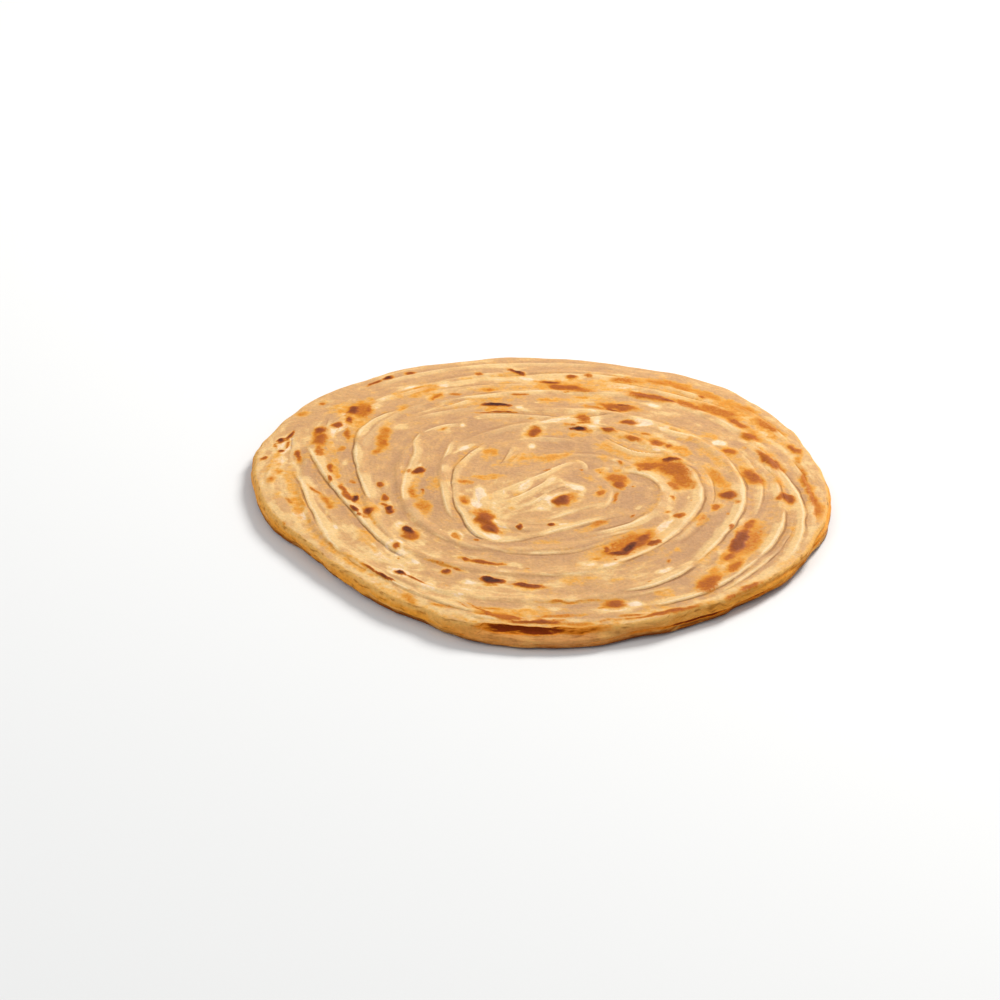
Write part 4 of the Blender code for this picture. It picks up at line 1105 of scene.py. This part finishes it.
def colourTop(tree, masks, noise):
    # Flat leaves: greyish tan to light tan, in streaks beside the lips, with a greyer band of painted shade
    # outside each steep foot and painted highlights where the tone is palest
    edge = masks["edge"]
    line = sway(tree, masks["across"], noise["fine"], crust["wobble"])
    beside = band(tree, edge, line, *crust["beside"])
    shade = doMath(tree, "MULTIPLY_ADD", masks["tone"], *crust["shade"])
    shade = doMath(tree, "MULTIPLY_ADD", beside, crust["footShadeDepth"], shade)
    for name, share in crust["shadeShares"].items():
        shade = sway(tree, shade, noise[name], share)
    colour = layOver(tree, crust["leafGrey"], crust["leafLight"], shade, *crust["lightOver"])
    colour = layOver(tree, colour, crust["cream"], shade, *crust["creamOver"])
    colour = layOver(tree, colour, crust["highlightWhite"], shade, *crust["whiteOver"])

    # Golden where butter and heat reached
    gold = masks["glow"]
    for name, share in crust["goldShares"].items():
        gold = sway(tree, gold, noise[name], share)
    deep = sway(tree, gold, noise["mottle"], crust["deepShare"])
    goldTone = layOver(tree, crust["gold"], crust["deepGold"], deep, *crust["deepGoldOver"])
    colour = layOver(tree, colour, goldTone, deep, *crust["goldOver"])

    # Cream rolls along the leaves' edges, with a painted highlight on the ridge and a dark hairline of
    # painted crease shade at their foot
    roll = band(tree, edge, line, *crust["roll"])
    crest = streak(tree, edge, line, crust["crestPlace"], crust["crestWidth"])
    hairline = streak(tree, masks["hair"], line, crust["hairPlace"], crust["hairWidth"])
    colour = layOver(tree, colour, crust["cream"], roll, *crust["rollOver"])
    colour = layOver(tree, colour, crust["crest"], crest, *crust["crestOver"])
    colour = mixColour(tree, doMath(tree, "MINIMUM", hairline, crust["hairMost"]), colour, crust["hair"])
    return colour, gold, hairline


def colourRim(tree, colour, masks, noise, gold):
    # Rim leaves, with a painted highlight at the shoulder, tan and golden above and dark at the foot,
    # where browning carries painted contact shade: the side mask is 0 at the shoulder, 1 at the foot and 2 on
    # the underside
    side = masks["side"]
    level = sway(tree, side, noise["fine"], 0.25)
    rimTone = layOver(tree, crust["rimTan"], crust["rimGold"], masks["glow"], *crust["rimGoldOver"])
    rimTone = layOver(tree, crust["rimPaleAndShoulderHighlight"], rimTone, level, *crust["rimTanOver"])
    rimTone = layOver(tree, rimTone, crust["rimDarkAndFootShade"], level, *crust["rimFootOver"])
    rimTone = layOver(tree, rimTone, crust["rimDarkAndFootShade"], noise["fine"], *crust["darkStreaksOver"])
    rimTone = layOver(tree, rimTone, crust["rimPaleAndShoulderHighlight"], noise["broad"], *crust["lightStreaksOver"])
    rimTone = layOver(tree, rimTone, crust["under"], side, *crust["underEdgeOver"])
    rimShare = remap(tree, level, *crust["rimOver"])
    rimShare = doMath(tree, "MULTIPLY", rimShare, remap(tree, side, *crust["rimEnds"]))
    colour = mixColour(tree, rimShare, colour, rimTone)

    # The gaps between them, browned and darkened with painted shade, then the underside
    gap = doMath(tree, "MULTIPLY_ADD", noise["fine"], *crust["gapRagged"])
    gap = doMath(tree, "MULTIPLY", masks["gap"], gap)
    gapTone = layOver(tree, crust["rimGlow"], crust["rimGapBrownAndShade"], gap, *crust["gapDeep"])
    colour = layOver(tree, colour, gapTone, gap, *crust["gapOver"])
    beneath = layOver(tree, crust["under"], crust["gold"], gold, *crust["underGold"])
    return layOver(tree, colour, beneath, side, *crust["underOver"])


def colourToast(tree, colour, heat, speck):
    # Toasted and charred spots with ragged edges
    uneven = doMath(tree, "MULTIPLY_ADD", speck, *crust["toastRagged"])
    uneven = doMath(tree, "MULTIPLY", uneven, remap(tree, heat, *crust["toastRaggedFrom"]))
    level = doMath(tree, "ADD", heat, uneven)
    ramp = addNode(tree, "ShaderNodeValToRGB", {"Fac": level})
    stops = ramp.color_ramp.elements
    stops[0].position, stops[0].color = crust["toastRamp"][0]
    stops[1].position, stops[1].color = crust["toastRamp"][-1]
    for place, shadeOfToast in crust["toastRamp"][1:-1]:
        stops.new(place).color = shadeOfToast
    colour = layOver(tree, colour, ramp.outputs["Color"], level, *crust["toastOver"])
    grain = remap(tree, speck, *crust["grainShade"])
    grainy = addNode(tree, "ShaderNodeCombineColor", {"Red": grain, "Green": grain, "Blue": grain})
    return mixColour(tree, 1.0, colour, grainy.outputs["Color"], "MULTIPLY")


def makeCrust(leafStreaks, doughGrain):
    material = bpy.data.materials.new("brownedDough")
    material.use_nodes = True
    tree = material.node_tree
    shader = tree.nodes["Principled BSDF"]

    masks = {name: readMask(tree, name) for name in maskNames}
    noise = {}
    for name, sizes in crust["streaks"].items():
        noise[name] = useGroup(tree, leafStreaks, Near=masks["near"], **sizes)
    for name, sizes in crust["grains"].items():
        noise[name] = useGroup(tree, doughGrain, **sizes)

    colour, gold, hairline = colourTop(tree, masks, noise)
    colour = colourRim(tree, colour, masks, noise, gold)
    colour = colourToast(tree, colour, masks["toasted"], noise["speck"])
    tree.links.new(colour, shader.inputs["Base Color"])

    # Finish
    rough = doMath(tree, "MULTIPLY_ADD", noise["speck"], crust["roughSpeck"], noise["cloud"])
    tree.links.new(remap(tree, rough, *crust["roughness"]), shader.inputs["Roughness"])
    shader.inputs["Subsurface Weight"].default_value = crust["softness"]
    shader.inputs["Subsurface Radius"].default_value = crust["softRadius"]
    shader.inputs["Subsurface Scale"].default_value = crust["softScale"]
    shader.inputs["Specular IOR Level"].default_value = crust["specular"]

    bumpy = doMath(tree, "MULTIPLY", hairline, crust["hairBump"])
    for name, share in crust["bumpShares"].items():
        bumpy = doMath(tree, "MULTIPLY_ADD", noise[name], share, bumpy)
    bump = addNode(tree, "ShaderNodeBump", {"Strength": crust["bumpStrength"], "Distance": crust["bumpDepth"],
                   "Height": bumpy})
    tree.links.new(bump.outputs["Normal"], shader.inputs["Normal"])
    shader.location = bump.location.x + 300, 0
    tree.nodes["Material Output"].location = bump.location.x + 600, 0
    return material


# Table, light and camera
studio = {
    "tableSize": 3.0,
    "tableColour": (0.80, 0.80, 0.79, 1),
    "tableRoughness": 0.7,
    "world": (0.95, 0.97, 1.0, 1),
    "worldStrength": 0.50,
    "lights": [
        # name, place, size, power, colour
        ("keyLight", (0.55, 0.75, 0.75), 0.45, 16.0, (1.0, 0.98, 0.95)),
        ("fillLight", (-0.9, -0.5, 0.9), 1.0, 4.0, (0.97, 0.98, 1.0)),
    ],
    "aim": (-15.7, 3.2, 0.0),   # in millimetres from the middle of the coil
    "elevation": 28.4,
    "distance": 0.71985,
    "lens": 85.0,
    "sensor": 36.0,
}


def makeTable():
    half = studio["tableSize"] / 2
    mesh = bpy.data.meshes.new("table")
    corners = [(-half, -half, 0), (half, -half, 0), (half, half, 0), (-half, half, 0)]
    mesh.from_pydata(corners, [], [(0, 1, 2, 3)])
    table = addObject("table", mesh)
    material = bpy.data.materials.new("tableTop")
    material.use_nodes = True
    shader = material.node_tree.nodes["Principled BSDF"]
    shader.inputs["Base Color"].default_value = studio["tableColour"]
    shader.inputs["Roughness"].default_value = studio["tableRoughness"]
    mesh.materials.append(material)


def makeLights():
    world = bpy.data.worlds.new("studio")
    world.use_nodes = True
    background = world.node_tree.nodes["Background"]
    background.inputs["Color"].default_value = studio["world"]
    background.inputs["Strength"].default_value = studio["worldStrength"]
    bpy.context.scene.world = world
    for name, place, size, power, colour in studio["lights"]:
        data = bpy.data.lights.new(name, "AREA")
        data.shape, data.size, data.energy, data.color = "DISK", size, power, colour
        light = addObject(name, data)
        light.location = place
        light.rotation_euler = (-Vector(place)).to_track_quat("-Z", "Y").to_euler()


def makeCamera(shift):
    data = bpy.data.cameras.new("camera")
    data.lens, data.sensor_width = studio["lens"], studio["sensor"]
    camera = addObject("camera", data)
    tilt = math.radians(studio["elevation"])
    aim = Vector(studio["aim"]) * mm + Vector((shift[0], shift[1], 0)) * mm
    back = Vector((0, -math.cos(tilt), math.sin(tilt)))
    camera.location = aim + back * studio["distance"]
    camera.rotation_euler = (-back).to_track_quat("-Z", "Y").to_euler()
    bpy.context.scene.camera = camera


piece, coilShift = makeBread()
piece.data.materials.append(makeCrust(makeLeafStreaks(), makeDoughGrain()))
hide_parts("parotta")
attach(piece, "root")
print("bread dressed")

makeTable()
makeLights()
makeCamera(coilShift)
bpy.context.scene.view_settings.view_transform = "Standard"
print("studio ready")
